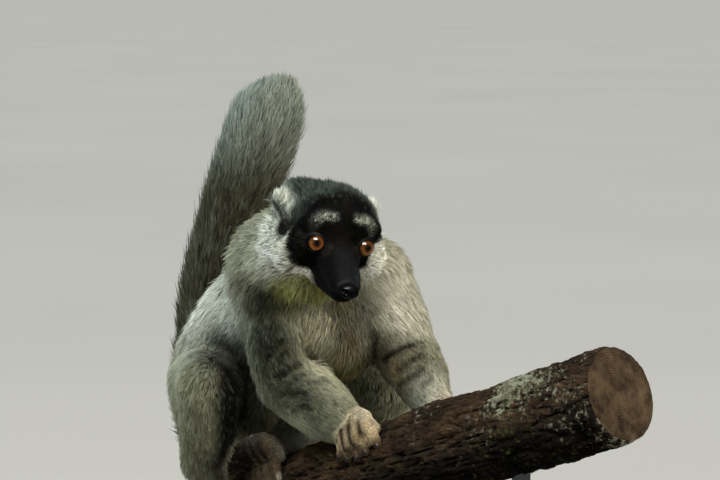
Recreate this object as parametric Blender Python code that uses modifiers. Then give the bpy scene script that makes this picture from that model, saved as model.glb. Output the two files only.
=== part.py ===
"""Common brown lemur crouched on a cut length of branch, on a plain display stand, at life size.

The animal looks along -Y, its right side is -X and +Z is up. The origin is the middle of the
underside of the stand's base. The solids reach to the tips of the coat. Lengths below are in
centimetres, and centimetres() turns them to Blender's metres.
"""

import math

import bmesh
import bpy
from mathutils import Matrix, Vector

CM = 0.01
GAP = 0.0003                      # clearance between solids that touch, in metres

# Display stand
BASE_SIZE = (30.0, 46.0, 1.8)
BASE_CORNER = 2.0
BASE_RIM = 0.15
ROD_RADIUS = 0.7
ROD_PLACES = {"stand_rod_front": -19.0, "stand_rod_back": 14.0}

# Perch: a cut length of branch that climbs towards the animal's head and bends behind it
PERCH_MIDDLE = 20.0               # height of the branch's axis above the floor at Y = 0
PERCH_SLOPE = 0.37                # rise for each centimetre towards -Y
PERCH_BEND = 0.011                # sideways bend towards +X, from PERCH_BEND_START on
PERCH_BEND_START = 2.0
PERCH_RADIUS = 3.6
PERCH_ENDS = (-28.5, 21.0)
PERCH_POINTS = 16
PERCH_SWELLS = ((0.02, 0.45, 0.0), (0.015, 0.93, 1.0))   # share of the radius, pitch, phase

# Head: turned to its right, nodded down and tipped, about the point between the eyes
EYE_MIDDLE = (-3.35, -3.1, 39.6)
HEAD_TURN = math.radians(-28.5)
HEAD_NOD = math.radians(16.4)
HEAD_TIP = math.radians(7.6)
EYE_RADIUS = 0.78
EYE_SPREAD = 2.0                  # from the head's middle plane to each eyeball's centre
EYE_SET_BACK = 0.5                # eyeball's centre behind the point between the eyes
EAR_PLACES = {"right": (4.05, -5.0, 0.35), "left": (3.35, -5.3, 0.35)}
EAR_RADII = (1.0, 1.6, 2.0)
EAR_TILT = math.radians(20)       # the ear's top leans out, and its opening turns forward
EAR_TURN = math.radians(35)
EAR_BOWL_RADII = (0.8, 1.0, 1.3)
EAR_BOWL_OUT = (0.75, -0.25, -0.1)

# Trunk: (centre, half width, half depth) from the neck to the root of the tail
TRUNK = (
    ((-1.0, 2.8, 38.2), 4.2, 4.0),
    ((0.4, 6.0, 37.2), 5.8, 5.0),
    ((1.8, 7.6, 34.2), 5.8, 5.4),
    ((1.9, 10.4, 32.9), 5.2, 5.1),
    ((2.2, 13.6, 30.8), 5.1, 4.7),
    ((2.5, 16.6, 26.8), 5.3, 4.8),
    ((2.9, 18.6, 23.6), 3.8, 3.8),
)
BREAST = (((3.0, 5.0, 32.6), 4.2, 4.2), ((3.1, 3.7, 30.9), 3.3, 3.4))
BELLY = (((2.2, 13.4, 26.8), 3.3, 3.3), ((1.5, 12.6, 24.2), 2.2, 2.4))
CHEST_STATION = 2                 # where the arms spring from
RUMP_STATION = 5                  # where the legs spring from
TRUNK_CORE = 2.0                  # from the trunk's middle plane to where a limb starts
TRUNK_SIDE_FRONT = (0.92, -0.38, 0.03)
TRUNK_SIDE_BACK = (1.0, 0.0, 0.0)

# Tail: (centre, half width, half depth) from its root to its tip
TAIL = (
    ((3.2, 19.2, 22.6), 2.3, 2.3),
    ((4.9, 21.9, 20.9), 2.6, 2.6),
    ((6.4, 24.0, 23.4), 2.9, 2.9),
    ((6.9, 24.3, 27.4), 3.0, 3.0),
    ((7.2, 23.6, 33.2), 3.1, 3.1),
    ((8.0, 22.1, 39.0), 3.2, 3.2),
    ((9.0, 20.6, 44.4), 3.4, 3.4),
    ((10.2, 19.9, 48.4), 3.2, 3.2),
    ((10.8, 19.6, 50.2), 2.6, 2.6),
)

# Limbs: (centre, half width, half depth); the joint is where two lengths of a limb meet
ARMS = {
    "right": {
        "upper": (((-0.6, 5.2, 33.4), 3.6, 3.4), ((-2.0, 4.6, 30.6), 3.3, 3.2),
                  ((-2.5, 3.5, 28.1), 2.9, 2.8)),
        "lower": (((-2.5, 3.5, 28.1), 2.9, 2.8), ((-2.7, 0.4, 26.7), 2.7, 2.6),
                  ((-2.7, -2.0, 25.7), 2.1, 2.0), ((-2.7, -3.2, 25.4), 1.7, 1.6)),
    },
    "left": {
        "upper": (((5.5, 3.0, 35.7), 3.9, 3.8), ((6.2, 1.0, 32.6), 3.2, 3.1),
                  ((6.2, -0.8, 30.1), 2.7, 2.7)),
        "lower": (((6.2, -0.8, 30.1), 2.7, 2.7), ((5.3, -3.2, 28.6), 2.4, 2.4),
                  ((4.4, -5.2, 27.2), 1.9, 1.9), ((4.1, -5.9, 26.6), 1.7, 1.6)),
    },
}
LEGS = {
    "right": {
        "upper": (((0.0, 15.8, 26.2), 3.8, 4.2), ((-3.5, 12.2, 26.7), 2.8, 3.3),
                  ((-6.2, 9.4, 27.3), 2.4, 2.7)),
        "lower": (((-6.2, 9.4, 27.3), 2.4, 2.7), ((-5.3, 10.5, 24.2), 2.4, 2.5),
                  ((-4.1, 12.1, 20.6), 2.2, 2.3)),
    },
    "left": {
        "upper": (((5.0, 15.6, 26.2), 3.8, 4.2), ((7.8, 10.8, 27.0), 3.2, 3.8),
                  ((9.4, 5.1, 25.4), 2.7, 2.9)),
        "lower": (((9.4, 5.1, 25.4), 2.7, 2.9), ((7.2, 9.2, 23.2), 2.6, 2.7),
                  ((4.9, 12.1, 20.8), 2.0, 2.1)),
    },
}
# Hands and feet: the middle of the knuckles along the branch, the side that they hang on
# (180 degrees is the animal's right, 0 its left), and the back of the hand or foot
PAWS = {
    "hand_right": {"knuckles": -5.4, "hang": 133.0, "over": 1,
                   "back": (((-2.7, -3.2, 25.4), 1.6, 1.35), ((-3.2, -4.4, 25.3), 1.9, 1.1),
                            ((-3.6, -5.2, 24.9), 1.9, 0.85)),
                   "digits": ((1.6, 1.6), (0.7, 1.9), (-0.3, 2.0), (-1.2, 1.8), (-2.5, 1.6))},
    "hand_left": {"knuckles": -7.2, "hang": 32.0, "over": -1,
                  "back": (((4.1, -5.8, 26.7), 1.6, 1.35), ((4.3, -6.7, 25.8), 1.9, 1.1),
                           ((4.3, -7.2, 25.2), 2.0, 0.9)),
                  "digits": ((1.6, 2.4), (0.7, 2.9), (-0.3, 3.0), (-1.2, 2.7), (-2.5, 2.0))},
    "foot_right": {"knuckles": 5.5, "hang": 124.0, "over": 1,
                   "back": (((-3.4, 12.0, 20.0), 1.3, 1.3), ((-3.0, 8.6, 21.5), 1.4, 1.2),
                            ((-2.8, 5.7, 22.4), 1.6, 1.0)),
                   "digits": ((1.2, 2.6), (0.4, 3.2), (-0.4, 3.4), (-1.2, 3.0), (-2.2, 2.4))},
    "foot_left": {"knuckles": 6.2, "hang": 52.0, "over": -1,
                  "back": (((4.5, 12.9, 19.6), 1.3, 1.3), ((3.9, 9.8, 20.9), 1.5, 1.2),
                           ((3.3, 6.6, 22.0), 1.9, 1.0)),
                  "digits": ((1.5, 2.6), (0.6, 3.2), (-0.4, 3.4), (-1.3, 3.0), (-2.5, 2.4))},
}
DIGIT_RADII = (0.62, 0.42)        # at the knuckle and at the tip
DIGIT_STEPS = 6
KNUCKLE_SPACING = 0.72            # share of the fingertips' spacing that the knuckles have
KNUCKLE_ARCH = 0.25               # how high a bent digit stands off the bark

parts = bpy.data.collections.new("common_brown_lemur")
cutters = bpy.data.collections.new("cutters")


def centimetres(point):
    return Vector(point) * CM


def clear_scene():
    for obj in list(bpy.data.objects):
        bpy.data.objects.remove(obj)
    for collection in (parts, cutters):
        bpy.context.scene.collection.children.link(collection)


def material(name, colour, roughness, metallic=0.0):
    """A Principled material for the part of this name."""
    made = bpy.data.materials.new(name)
    made.use_nodes = True
    shader = made.node_tree.nodes["Principled BSDF"]
    shader.inputs["Base Color"].default_value = (*colour, 1.0)
    shader.inputs["Roughness"].default_value = roughness
    shader.inputs["Metallic"].default_value = metallic
    return made


def mesh_object(name, bm, collection=parts):
    mesh = bpy.data.meshes.new(name)
    bm.to_mesh(mesh)
    bm.free()
    obj = bpy.data.objects.new(name, mesh)
    collection.objects.link(obj)
    return obj


def applied(obj):
    """Makes the object's mesh what its modifiers give, and removes them."""
    graph = bpy.context.evaluated_depsgraph_get()
    graph.update()
    mesh = bpy.data.meshes.new_from_object(obj.evaluated_get(graph))
    obj.modifiers.clear()
    obj.data = mesh
    return obj


def ellipsoid(bm, centre, radii, axes=Matrix.Identity(3), subdivisions=3):
    """Adds an ellipsoid, in centimetres, with its radii along the columns of axes."""
    matrix = Matrix.Translation(centimetres(centre)) @ axes.to_4x4()
    matrix = matrix @ Matrix.Diagonal((*[radius * CM for radius in radii], 1.0))
    bmesh.ops.create_icosphere(bm, subdivisions=subdivisions, radius=1.0, matrix=matrix)


def smooth_value(values, index, t):
    """Catmull-Rom value between values[index] and the next one."""
    last = len(values) - 1
    before, a, b, after = (values[min(max(index + step, 0), last)] for step in (-1, 0, 1, 2))
    return a + ((b - before) * t + (2 * before - 5 * a + 4 * b - after) * t * t
                + (3 * a - before - 3 * b + after) * t ** 3) / 2


def stations_along(stations, spacing):
    """(centre, half width, half depth) at even steps on the smooth curve through the stations."""
    centres = [Vector(centre) for centre, _, _ in stations]
    widths = [width for _, width, _ in stations]
    depths = [depth for _, _, depth in stations]
    found = []
    for index in range(len(stations) - 1):
        steps = max(1, round((centres[index + 1] - centres[index]).length / spacing))
        for step in range(steps):
            t = step / steps
            found.append((smooth_value(centres, index, t), smooth_value(widths, index, t),
                          smooth_value(depths, index, t)))
    found.append((centres[-1], widths[-1], depths[-1]))
    return found


def length_of_body(bm, stations, side_start, side_end, spacing=0.9):
    """Adds overlapping ellipsoids along the stations; half widths lie along the side direction."""
    beads = stations_along(stations, spacing)
    for index, (centre, width, depth) in enumerate(beads):
        ahead = beads[min(index + 1, len(beads) - 1)][0]
        behind = beads[max(index - 1, 0)][0]
        along = (ahead - behind).normalized()
        share = index / (len(beads) - 1)
        side = Vector(side_start).lerp(Vector(side_end), share)
        side = (side - along * side.dot(along)).normalized()
        axes = Matrix((side, along, side.cross(along))).transposed()
        ellipsoid(bm, centre, (width, min(width, depth), depth), axes)


def fused(name, bm, voxel, smoothing, triangles):
    """One smooth closed body from the overlapping shapes, thinned to about that many triangles."""
    obj = mesh_object(name, bm)
    remesh = obj.modifiers.new("one_body", "REMESH")
    remesh.mode = "VOXEL"
    remesh.voxel_size = voxel * CM
    smooth = obj.modifiers.new("soften", "SMOOTH")
    smooth.factor = 0.5
    smooth.iterations = smoothing
    applied(obj)
    count = sum(len(face.vertices) - 2 for face in obj.data.polygons)
    thin = obj.modifiers.new("thin_out", "DECIMATE")
    thin.ratio = min(1.0, triangles / count)
    return applied(obj)


def keep_largest(obj):
    """Removes every loose piece of the object but its largest."""
    bm = bmesh.new()
    bm.from_mesh(obj.data)
    left = set(bm.verts)
    pieces = []
    while left:
        piece = set()
        front = [left.pop()]
        while front:
            vert = front.pop()
            piece.add(vert)
            for edge in vert.link_edges:
                other = edge.other_vert(vert)
                if other in left:
                    left.discard(other)
                    front.append(other)
        pieces.append(piece)
    pieces.sort(key=len)
    for piece in pieces[:-1]:
        bmesh.ops.delete(bm, geom=list(piece), context="VERTS")
    bm.to_mesh(obj.data)
    bm.free()


def grown(obj, by=GAP):
    """A cutter: a copy of the object, larger all round."""
    copy = bpy.data.objects.new(obj.name + "_room", obj.data.copy())
    cutters.objects.link(copy)
    copy.hide_render = True
    copy.display_type = "WIRE"
    swell = copy.modifiers.new("room", "DISPLACE")
    swell.strength = by
    swell.mid_level = 0.0
    return applied(copy)


def make_room(obj, *others, by=GAP):
    """Cuts the others, grown by the gap, out of the object."""
    for other in others:
        cutter = grown(other, by)
        cut = obj.modifiers.new("room_for_" + other.name, "BOOLEAN")
        cut.operation = "DIFFERENCE"
        cut.object = cutter
        applied(obj)
        bpy.data.objects.remove(cutter)
    keep_largest(obj)


def one_side(obj, name, point, normal):
    """A copy of the object's part on the normal's side of the plane, closed where it is cut."""
    normal = Vector(normal).normalized()
    bm = bmesh.new()
    bm.from_mesh(obj.data)
    cut = bmesh.ops.bisect_plane(
        bm, geom=bm.verts[:] + bm.edges[:] + bm.faces[:], dist=1e-7,
        plane_co=centimetres(point) + normal * GAP / 2, plane_no=normal, clear_inner=True)
    rim = [item for item in cut["geom_cut"] if isinstance(item, bmesh.types.BMEdge)]
    bmesh.ops.holes_fill(bm, edges=rim)
    bmesh.ops.triangulate(bm, faces=[face for face in bm.faces if len(face.verts) > 4])
    part = mesh_object(name, bm)
    keep_largest(part)
    return part


def parted(obj, cuts, names):
    """Parts the object at each (point, normal) in turn, and removes it. The normal points on."""
    made = []
    for (point, normal), name in zip(cuts, names):
        made.append(one_side(obj, name, point, -Vector(normal)))
        rest = one_side(obj, "rest", point, normal)
        bpy.data.objects.remove(obj)
        obj = rest
    obj.name = names[-1]
    made.append(obj)
    return made


def perch_axis(y):
    """The point on the branch's axis at this distance along Y."""
    bend = PERCH_BEND * max(0.0, y - PERCH_BEND_START) ** 2
    return Vector((bend, y, PERCH_MIDDLE - PERCH_SLOPE * y))


def perch_branch():
    """The cut branch: a bent tube whose thickness changes gently, with flat ends."""
    curve = bpy.data.curves.new("perch_branch", "CURVE")
    curve.dimensions = "3D"
    curve.bevel_depth = PERCH_RADIUS * CM
    curve.bevel_resolution = 5
    curve.use_fill_caps = True
    spline = curve.splines.new("POLY")
    spline.points.add(PERCH_POINTS - 1)
    for index, point in enumerate(spline.points):
        y = PERCH_ENDS[0] + (PERCH_ENDS[1] - PERCH_ENDS[0]) * index / (PERCH_POINTS - 1)
        point.co = (*centimetres(perch_axis(y)), 1.0)
        point.radius = 1.0 + sum(swell * math.sin(y * pitch + phase)
                                 for swell, pitch, phase in PERCH_SWELLS)
    tube = bpy.data.objects.new("tube", curve)
    parts.objects.link(tube)
    graph = bpy.context.evaluated_depsgraph_get()
    mesh = bpy.data.meshes.new_from_object(tube.evaluated_get(graph))
    bpy.data.objects.remove(tube)
    bm = bmesh.new()
    bm.from_mesh(mesh)
    bmesh.ops.remove_doubles(bm, verts=bm.verts, dist=1e-6)
    return mesh_object("perch_branch", bm)


def stand(branch):
    """The flat base with rounded corners, and the two rods that end inside the branch's bark."""
    bm = bmesh.new()
    size = [side * CM for side in BASE_SIZE]
    bmesh.ops.create_cube(bm, size=1.0, matrix=Matrix.Translation((0, 0, size[2] / 2))
                          @ Matrix.Diagonal((*size, 1.0)))
    upright = [edge for edge in bm.edges
               if abs(edge.verts[0].co.z - edge.verts[1].co.z) > size[2] / 2]
    bmesh.ops.bevel(bm, geom=upright, offset=BASE_CORNER * CM, offset_type="OFFSET",
                    affect="EDGES", segments=5, profile=0.5, material=-1)
    base = mesh_object("stand_base", bm)
    rim = base.modifiers.new("rim", "BEVEL")
    rim.width = BASE_RIM * CM
    rim.segments = 2
    rim.limit_method = "ANGLE"
    rods = []
    for name, y in ROD_PLACES.items():
        axis = centimetres(perch_axis(y))
        bottom = BASE_SIZE[2] * CM + GAP
        bm = bmesh.new()
        bmesh.ops.create_cone(
            bm, cap_ends=True, segments=16, radius1=ROD_RADIUS * CM, radius2=ROD_RADIUS * CM,
            depth=axis.z - bottom,
            matrix=Matrix.Translation((axis.x, axis.y, (axis.z + bottom) / 2)))
        rod = mesh_object(name, bm)
        make_room(rod, branch)
        rods.append(rod)
    return [base, *rods]


def head_axes():
    """Columns: the head's left, back and up."""
    turn = Matrix.Rotation(HEAD_TURN, 3, "Z")
    nod = Matrix.Rotation(HEAD_NOD, 3, "X")
    tip = Matrix.Rotation(HEAD_TIP, 3, "Y")
    return turn @ nod @ tip


def on_head(left, forward, up):
    """The point that far from the middle between the eyes, along the head's own directions."""
    return Vector(EYE_MIDDLE) + head_axes() @ Vector((left, -forward, up))


def head_parts():
    """The head, with the eyes, ears and nose pad that are set into it."""
    axes = head_axes()
    bm = bmesh.new()
    for place, radii in (
            ((0, -4.1, 0.4), (4.1, 4.3, 3.2)),       # cranium
            ((0, -2.3, 1.8), (3.0, 2.3, 2.1)),       # forehead
            ((0, -0.9, -0.3), (1.6, 1.3, 1.8)),      # bridge of the nose
            ((0, -3.8, -2.6), (3.2, 2.8, 2.1)),      # throat
            ((0, -6.0, -0.5), (3.4, 2.4, 3.2)),      # nape
            ((-1.9, -5.7, 1.7), (2.1, 2.0, 1.75))):  # long hair, fluffed up behind the right ear
        ellipsoid(bm, on_head(*place), radii, axes)
    for side in (-1, 1):
        for place, radii in (
                ((1.9, -1.1, 1.35), (1.5, 1.0, 1.0)),     # brow
                ((2.3, -1.5, -0.1), (1.8, 1.5, 1.7)),     # round the eye
                ((3.1, -2.7, -1.5), (1.9, 2.3, 2.3)),     # cheek
                ((3.2, -4.2, -1.5), (2.0, 2.3, 3.0))):    # ruff behind the cheek
            ellipsoid(bm, on_head(side * place[0], *place[1:]), radii, axes)
    left = axes @ Vector((1, 0, 0))
    muzzle = (((0, -0.8, -0.9), 1.9, 1.7), ((0, 1.0, -1.4), 1.6, 1.3),
              ((0, 2.5, -1.95), 1.3, 1.0), ((0, 3.4, -2.25), 1.05, 0.8))
    jaw = (((0, -2.6, -2.8), 2.4, 1.4), ((0, 0.0, -2.95), 1.7, 1.0),
           ((0, 2.0, -3.05), 1.05, 0.6), ((0, 2.8, -3.0), 0.8, 0.5))
    for line in (muzzle, jaw):
        placed = [(on_head(*centre), width, depth) for centre, width, depth in line]
        length_of_body(bm, placed, left, left, spacing=0.4)
    head = fused("head", bm, 0.22, 3, 860)

    nose_bm = bmesh.new()
    ellipsoid(nose_bm, on_head(0, 3.95, -2.1), (0.72, 0.5, 0.52), axes, 2)
    nose = mesh_object("nose", nose_bm)
    made = [nose]
    for side, name in ((-1, "right"), (1, "left")):
        eye_bm = bmesh.new()
        centre = on_head(side * EYE_SPREAD, -EYE_SET_BACK, 0)
        bmesh.ops.create_uvsphere(eye_bm, u_segments=12, v_segments=8, radius=EYE_RADIUS * CM,
                                  matrix=Matrix.Translation(centimetres(centre)))
        made.append(mesh_object("eye_" + name, eye_bm))
    make_room(head, *made)
    for side, name in ((-1, "right"), (1, "left")):
        lean = axes @ Matrix.Rotation(side * EAR_TILT, 3, "Y")
        lean = lean @ Matrix.Rotation(side * EAR_TURN, 3, "Z")
        out, ahead, height = EAR_PLACES[name]
        place = on_head(side * out, ahead, height)
        ear_bm = bmesh.new()
        ellipsoid(ear_bm, place, EAR_RADII, lean, 2)
        ear = mesh_object("ear_" + name, ear_bm)
        bowl_bm = bmesh.new()
        outward = lean @ Vector((side * EAR_BOWL_OUT[0], *EAR_BOWL_OUT[1:]))
        ellipsoid(bowl_bm, place + outward, EAR_BOWL_RADII, lean, 2)
        bowl = mesh_object("bowl", bowl_bm, cutters)
        make_room(ear, bowl, head)
        bpy.data.objects.remove(bowl)
        made.append(ear)
    return head, made


def round_perch(y, degrees, lift):
    """The point at this angle round the branch's axis, that far off its bark."""
    along = (perch_axis(y - 0.5) - perch_axis(y + 0.5)).normalized()
    side = Vector((1, 0, 0))
    side = (side - along * side.dot(along)).normalized()
    up = side.cross(along)
    angle = math.radians(degrees)
    out = side * math.cos(angle) - up * math.sin(angle) * math.copysign(1, -up.z)
    return perch_axis(y) + out * (PERCH_RADIUS + lift)


def paw(name, facts, branch):
    """A hand or foot: its back, and five digits bent round the branch."""
    bm = bmesh.new()
    along = Vector((0, -1, PERCH_SLOPE)).normalized()
    length_of_body(bm, facts["back"], along, along, spacing=0.4)
    for offset, length in facts["digits"]:
        swing = math.degrees(length / (PERCH_RADIUS + DIGIT_RADII[1])) * facts["over"]
        line = []
        for step in range(DIGIT_STEPS + 1):
            share = step / DIGIT_STEPS
            radius = DIGIT_RADII[0] + (DIGIT_RADII[1] - DIGIT_RADII[0]) * share
            lift = radius * 0.9 + KNUCKLE_ARCH * math.sin(math.pi * min(1.0, share * 1.6))
            y = facts["knuckles"] + offset * (KNUCKLE_SPACING + (1 - KNUCKLE_SPACING) * share)
            point = round_perch(y, facts["hang"] + swing * share, lift)
            line.append((point, radius, radius))
        length_of_body(bm, line, along, along, spacing=0.3)
    obj = fused(name, bm, 0.16, 2, 270)
    make_room(obj, branch)
    return obj


def limb(names, lengths, triangles, inner, outward):
    """Two lengths of an arm or a leg, from one smooth body parted across the joint.

    The upper length starts at the inner point's plane, so the trunk keeps a core between a pair.
    """
    bm = bmesh.new()
    side = Vector((1, 0, 0))
    for line in (lengths["upper"], lengths["lower"]):
        length_of_body(bm, line, side, side, spacing=0.8)
    whole = fused("limb", bm, 0.35, 5, triangles)
    shoulder, joint, end = (Vector(lengths[part][place][0])
                            for part, place in (("upper", 0), ("upper", -1), ("lower", -1)))
    across = (joint - shoulder).normalized() + (end - joint).normalized()
    upper, lower = parted(whole, [(joint, across)], ["upper", names[1]])
    outer = one_side(upper, names[0], inner, outward)
    bpy.data.objects.remove(upper)
    return outer, lower


def tail_parts():
    """The tail, parted into four lengths."""
    bm = bmesh.new()
    length_of_body(bm, TAIL, (1, 0, 0), (1, 0, 0), spacing=1.0)
    whole = fused("tail", bm, 0.4, 4, 400)
    cuts = []
    for index in (2, 4, 6):
        along = Vector(TAIL[index + 1][0]) - Vector(TAIL[index - 1][0])
        cuts.append((TAIL[index][0], along))
    return parted(whole, cuts, ["tail_1", "tail_2", "tail_3", "tail_4"])


def trunk_parts():
    """The trunk, parted into neck, chest, loin and rump."""
    bm = bmesh.new()
    length_of_body(bm, TRUNK, TRUNK_SIDE_FRONT, TRUNK_SIDE_BACK, spacing=1.0)
    length_of_body(bm, BREAST, TRUNK_SIDE_FRONT, TRUNK_SIDE_FRONT, spacing=0.8)
    length_of_body(bm, BELLY, TRUNK_SIDE_BACK, TRUNK_SIDE_BACK, spacing=0.8)
    whole = fused("trunk", bm, 0.45, 4, 480)
    cuts = []
    for first, second in ((1, 2), (3, 4), (4, 5)):
        a, b = (Vector(TRUNK[index][0]) for index in (first, second))
        cuts.append(((a + b) / 2, b - a))
    return parted(whole, cuts, ["neck", "chest", "loin", "rump"])


COLOURS = {
    "coat": (0.24, 0.23, 0.19), "tail": (0.07, 0.07, 0.07), "paw": (0.33, 0.25, 0.17),
    "head": (0.12, 0.12, 0.11), "eye": (0.45, 0.16, 0.05), "nose": (0.01, 0.01, 0.012),
    "perch": (0.12, 0.08, 0.055), "base": (0.05, 0.05, 0.05), "rod": (0.35, 0.35, 0.36),
}


def finish(objects, key, roughness, metallic=0.0):
    """Gives each object its own material, in the colour of that key, and smooth shading."""
    for obj in objects:
        obj.data.materials.clear()
        obj.data.materials.append(material(obj.name, COLOURS[key], roughness, metallic))
        obj.data.shade_smooth()


def build():
    clear_scene()
    branch = perch_branch()
    base, *rods = stand(branch)
    head, head_pieces = head_parts()
    paws = {name: paw(name, facts, branch) for name, facts in PAWS.items()}
    arms, legs = [], []
    for side, sign in (("right", -1), ("left", 1)):
        out = Vector(TRUNK_SIDE_FRONT).normalized() * sign
        inner = Vector(TRUNK[CHEST_STATION][0]) + out * TRUNK_CORE
        upper, fore = limb([f"upper_arm_{side}", f"forearm_{side}"], ARMS[side], 260, inner, out)
        make_room(fore, paws[f"hand_{side}"], branch)
        out = Vector(TRUNK_SIDE_BACK) * sign
        inner = Vector(TRUNK[RUMP_STATION][0]) + out * TRUNK_CORE
        thigh, shin = limb([f"thigh_{side}", f"shin_{side}"], LEGS[side], 270, inner, out)
        make_room(shin, paws[f"foot_{side}"], branch)
        arms += [upper, fore]
        legs += [thigh, shin]
    for piece in legs:
        make_room(piece, *arms)
    trunk = trunk_parts()
    tail = tail_parts()
    for piece in trunk:
        make_room(piece, *arms, *legs, by=GAP * 1.4)
    make_room(trunk[0], head)
    make_room(trunk[1], head)
    make_room(tail[0], trunk[-1])
    finish(trunk + arms + legs, "coat", 0.9)
    finish(tail, "tail", 0.9)
    finish(paws.values(), "paw", 0.8)
    finish([head] + head_pieces[3:], "head", 0.9)
    finish(head_pieces[1:3], "eye", 0.1)
    finish(head_pieces[:1], "nose", 0.3)
    finish([branch], "perch", 0.9)
    finish([base], "base", 0.5)
    finish(rods, "rod", 0.3, 1.0)


build()
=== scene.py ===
"""Life-size museum model of a common brown lemur on a cut branch, on a plain display stand."""

import math

import bmesh
import bpy
import numpy as np
from mathutils import Matrix, Vector, noise
from mathutils.bvhtree import BVHTree
from mathutils.kdtree import KDTree


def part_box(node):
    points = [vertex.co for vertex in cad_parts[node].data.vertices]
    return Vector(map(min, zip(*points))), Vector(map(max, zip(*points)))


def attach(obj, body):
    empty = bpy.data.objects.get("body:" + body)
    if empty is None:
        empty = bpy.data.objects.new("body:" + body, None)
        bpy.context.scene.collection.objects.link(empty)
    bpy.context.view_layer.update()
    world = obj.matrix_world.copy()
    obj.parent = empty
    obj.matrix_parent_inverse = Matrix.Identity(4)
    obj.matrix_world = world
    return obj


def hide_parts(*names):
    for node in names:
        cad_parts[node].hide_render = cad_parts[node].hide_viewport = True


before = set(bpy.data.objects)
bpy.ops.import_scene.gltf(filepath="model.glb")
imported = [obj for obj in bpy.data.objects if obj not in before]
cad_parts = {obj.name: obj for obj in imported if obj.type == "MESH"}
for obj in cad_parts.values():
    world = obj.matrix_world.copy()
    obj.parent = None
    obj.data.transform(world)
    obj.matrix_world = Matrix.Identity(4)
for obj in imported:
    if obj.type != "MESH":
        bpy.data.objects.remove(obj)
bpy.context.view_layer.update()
CM = 0.01
MM = 0.001


# Stand base: a board of lacquered beech ply, sprayed satin black and left with the faint
# orange peel of the spray gun. The animal's perch is fixed to it by the two rods.
def linear(code):
    """An sRGB hex colour as a linear one."""
    parts = [int(code[start:start + 2], 16) / 255 for start in (1, 3, 5)]
    return [part / 12.92 if part <= 0.04045 else ((part + 0.055) / 1.055) ** 2.4 for part in parts]


def add(tree, kind, inputs=None, stops=None, **settings):
    """Adds a shader node. Inputs are values, or outputs to link; stops are a ramp's colours."""
    made = tree.nodes.new("ShaderNode" + kind)
    for name, value in settings.items():
        setattr(made, name, value)
    for name, value in (inputs or {}).items():
        if isinstance(value, bpy.types.NodeSocket):
            tree.links.new(value, made.inputs[name])
        else:
            made.inputs[name].default_value = value
    if stops:
        points = made.color_ramp.elements
        while len(points) < len(stops):
            points.new(0.5)
        for point, (place, code) in zip(points, stops):
            point.position = place
            point.color = (*linear(code), 1.0)
    return made


def new_material(name, **sockets):
    """A material with these values on its shader's own sockets."""
    made = bpy.data.materials.new(name)
    made.use_nodes = True
    shader = made.node_tree.nodes["Principled BSDF"]
    for socket, value in sockets.items():
        shader.inputs[socket.replace("_", " ")].default_value = value
    return made, made.node_tree, shader


def wire(tree, shader, **outputs):
    """Links these outputs to the shader's own sockets."""
    for socket, output in outputs.items():
        tree.links.new(output, shader.inputs[socket.replace("_", " ")])


def give(obj, material):
    obj.data.materials.clear()
    obj.data.materials.append(material)


# Sprayed satin lacquer over wood: dark and even, dulled a little where hands have been
lacquer, tree, shader = new_material("satin_black_lacquer", Coat_Weight=0.25, Coat_Roughness=0.2)
place = add(tree, "TexCoord").outputs["Object"]
ORANGE_PEEL = 1.5 * MM
HANDLING = 71.4 * MM
peel = add(tree, "TexNoise", {"Vector": place, "Scale": 1 / ORANGE_PEEL, "Detail": 2.0})
handling = add(tree, "TexNoise", {"Vector": place, "Scale": 1 / HANDLING, "Detail": 4.0})
tone = add(tree, "ValToRGB", {"Fac": handling.outputs["Fac"]},
           stops=((0.3, "#141312"), (0.7, "#1d1c1a")))
gloss = add(tree, "MapRange", {"Value": handling.outputs["Fac"], "To Min": 0.32, "To Max": 0.46})
bump = add(tree, "Bump", {"Height": peel.outputs["Fac"], "Strength": 0.06, "Distance": 0.2 * MM})
wire(tree, shader, Base_Color=tone.outputs["Color"], Roughness=gloss.outputs["Result"],
     Normal=bump.outputs["Normal"])
give(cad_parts["stand_base"], lacquer)


# Stand rods: 14 mm round bar, turned from stainless steel and brushed round, each with a
# turned foot screwed down on the base. Their tops are let into the underside of the branch.
def put(name, data):
    """A new object of this data, in the room."""
    made = bpy.data.objects.new(name, data)
    bpy.context.scene.collection.objects.link(made)
    return made


def mesh_piece(name, bm, material):
    """A finished piece from the bmesh, smooth where it is round, riding on the model."""
    mesh = bpy.data.meshes.new(name)
    bm.to_mesh(mesh)
    bm.free()
    piece = put(name, mesh)
    mesh.shade_smooth()
    give(piece, material)
    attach(piece, "root")
    return piece


# Stainless steel, turned and then brushed round with a fine abrasive: soft streaks of gloss
steel, tree, shader = new_material("brushed_stainless_steel", Metallic=1.0, Anisotropic=0.4)
place = add(tree, "TexCoord").outputs["Object"]
BRUSHING = 0.5 * MM
BRUSH_STROKE = 16.7 * MM
stretched = add(tree, "Mapping", {"Vector": place, "Scale": (1 / BRUSH_STROKE, 1 / BRUSH_STROKE,
                                                             1 / BRUSHING)})
lines = add(tree, "TexNoise", {"Vector": stretched.outputs["Vector"], "Scale": 1.0, "Detail": 3.0})
tone = add(tree, "ValToRGB", {"Fac": lines.outputs["Fac"]},
           stops=((0.25, "#a9aaab"), (0.75, "#c9c9c8")))
gloss = add(tree, "MapRange", {"Value": lines.outputs["Fac"], "To Min": 0.22, "To Max": 0.38})
bump = add(tree, "Bump", {"Height": lines.outputs["Fac"], "Strength": 0.12, "Distance": 0.1 * MM})
wire(tree, shader, Base_Color=tone.outputs["Color"], Roughness=gloss.outputs["Result"],
     Normal=bump.outputs["Normal"])
ROD_SIDES = 48
FOOT_FLARE = 9 * MM
FOOT_HEIGHT = 4 * MM
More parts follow.
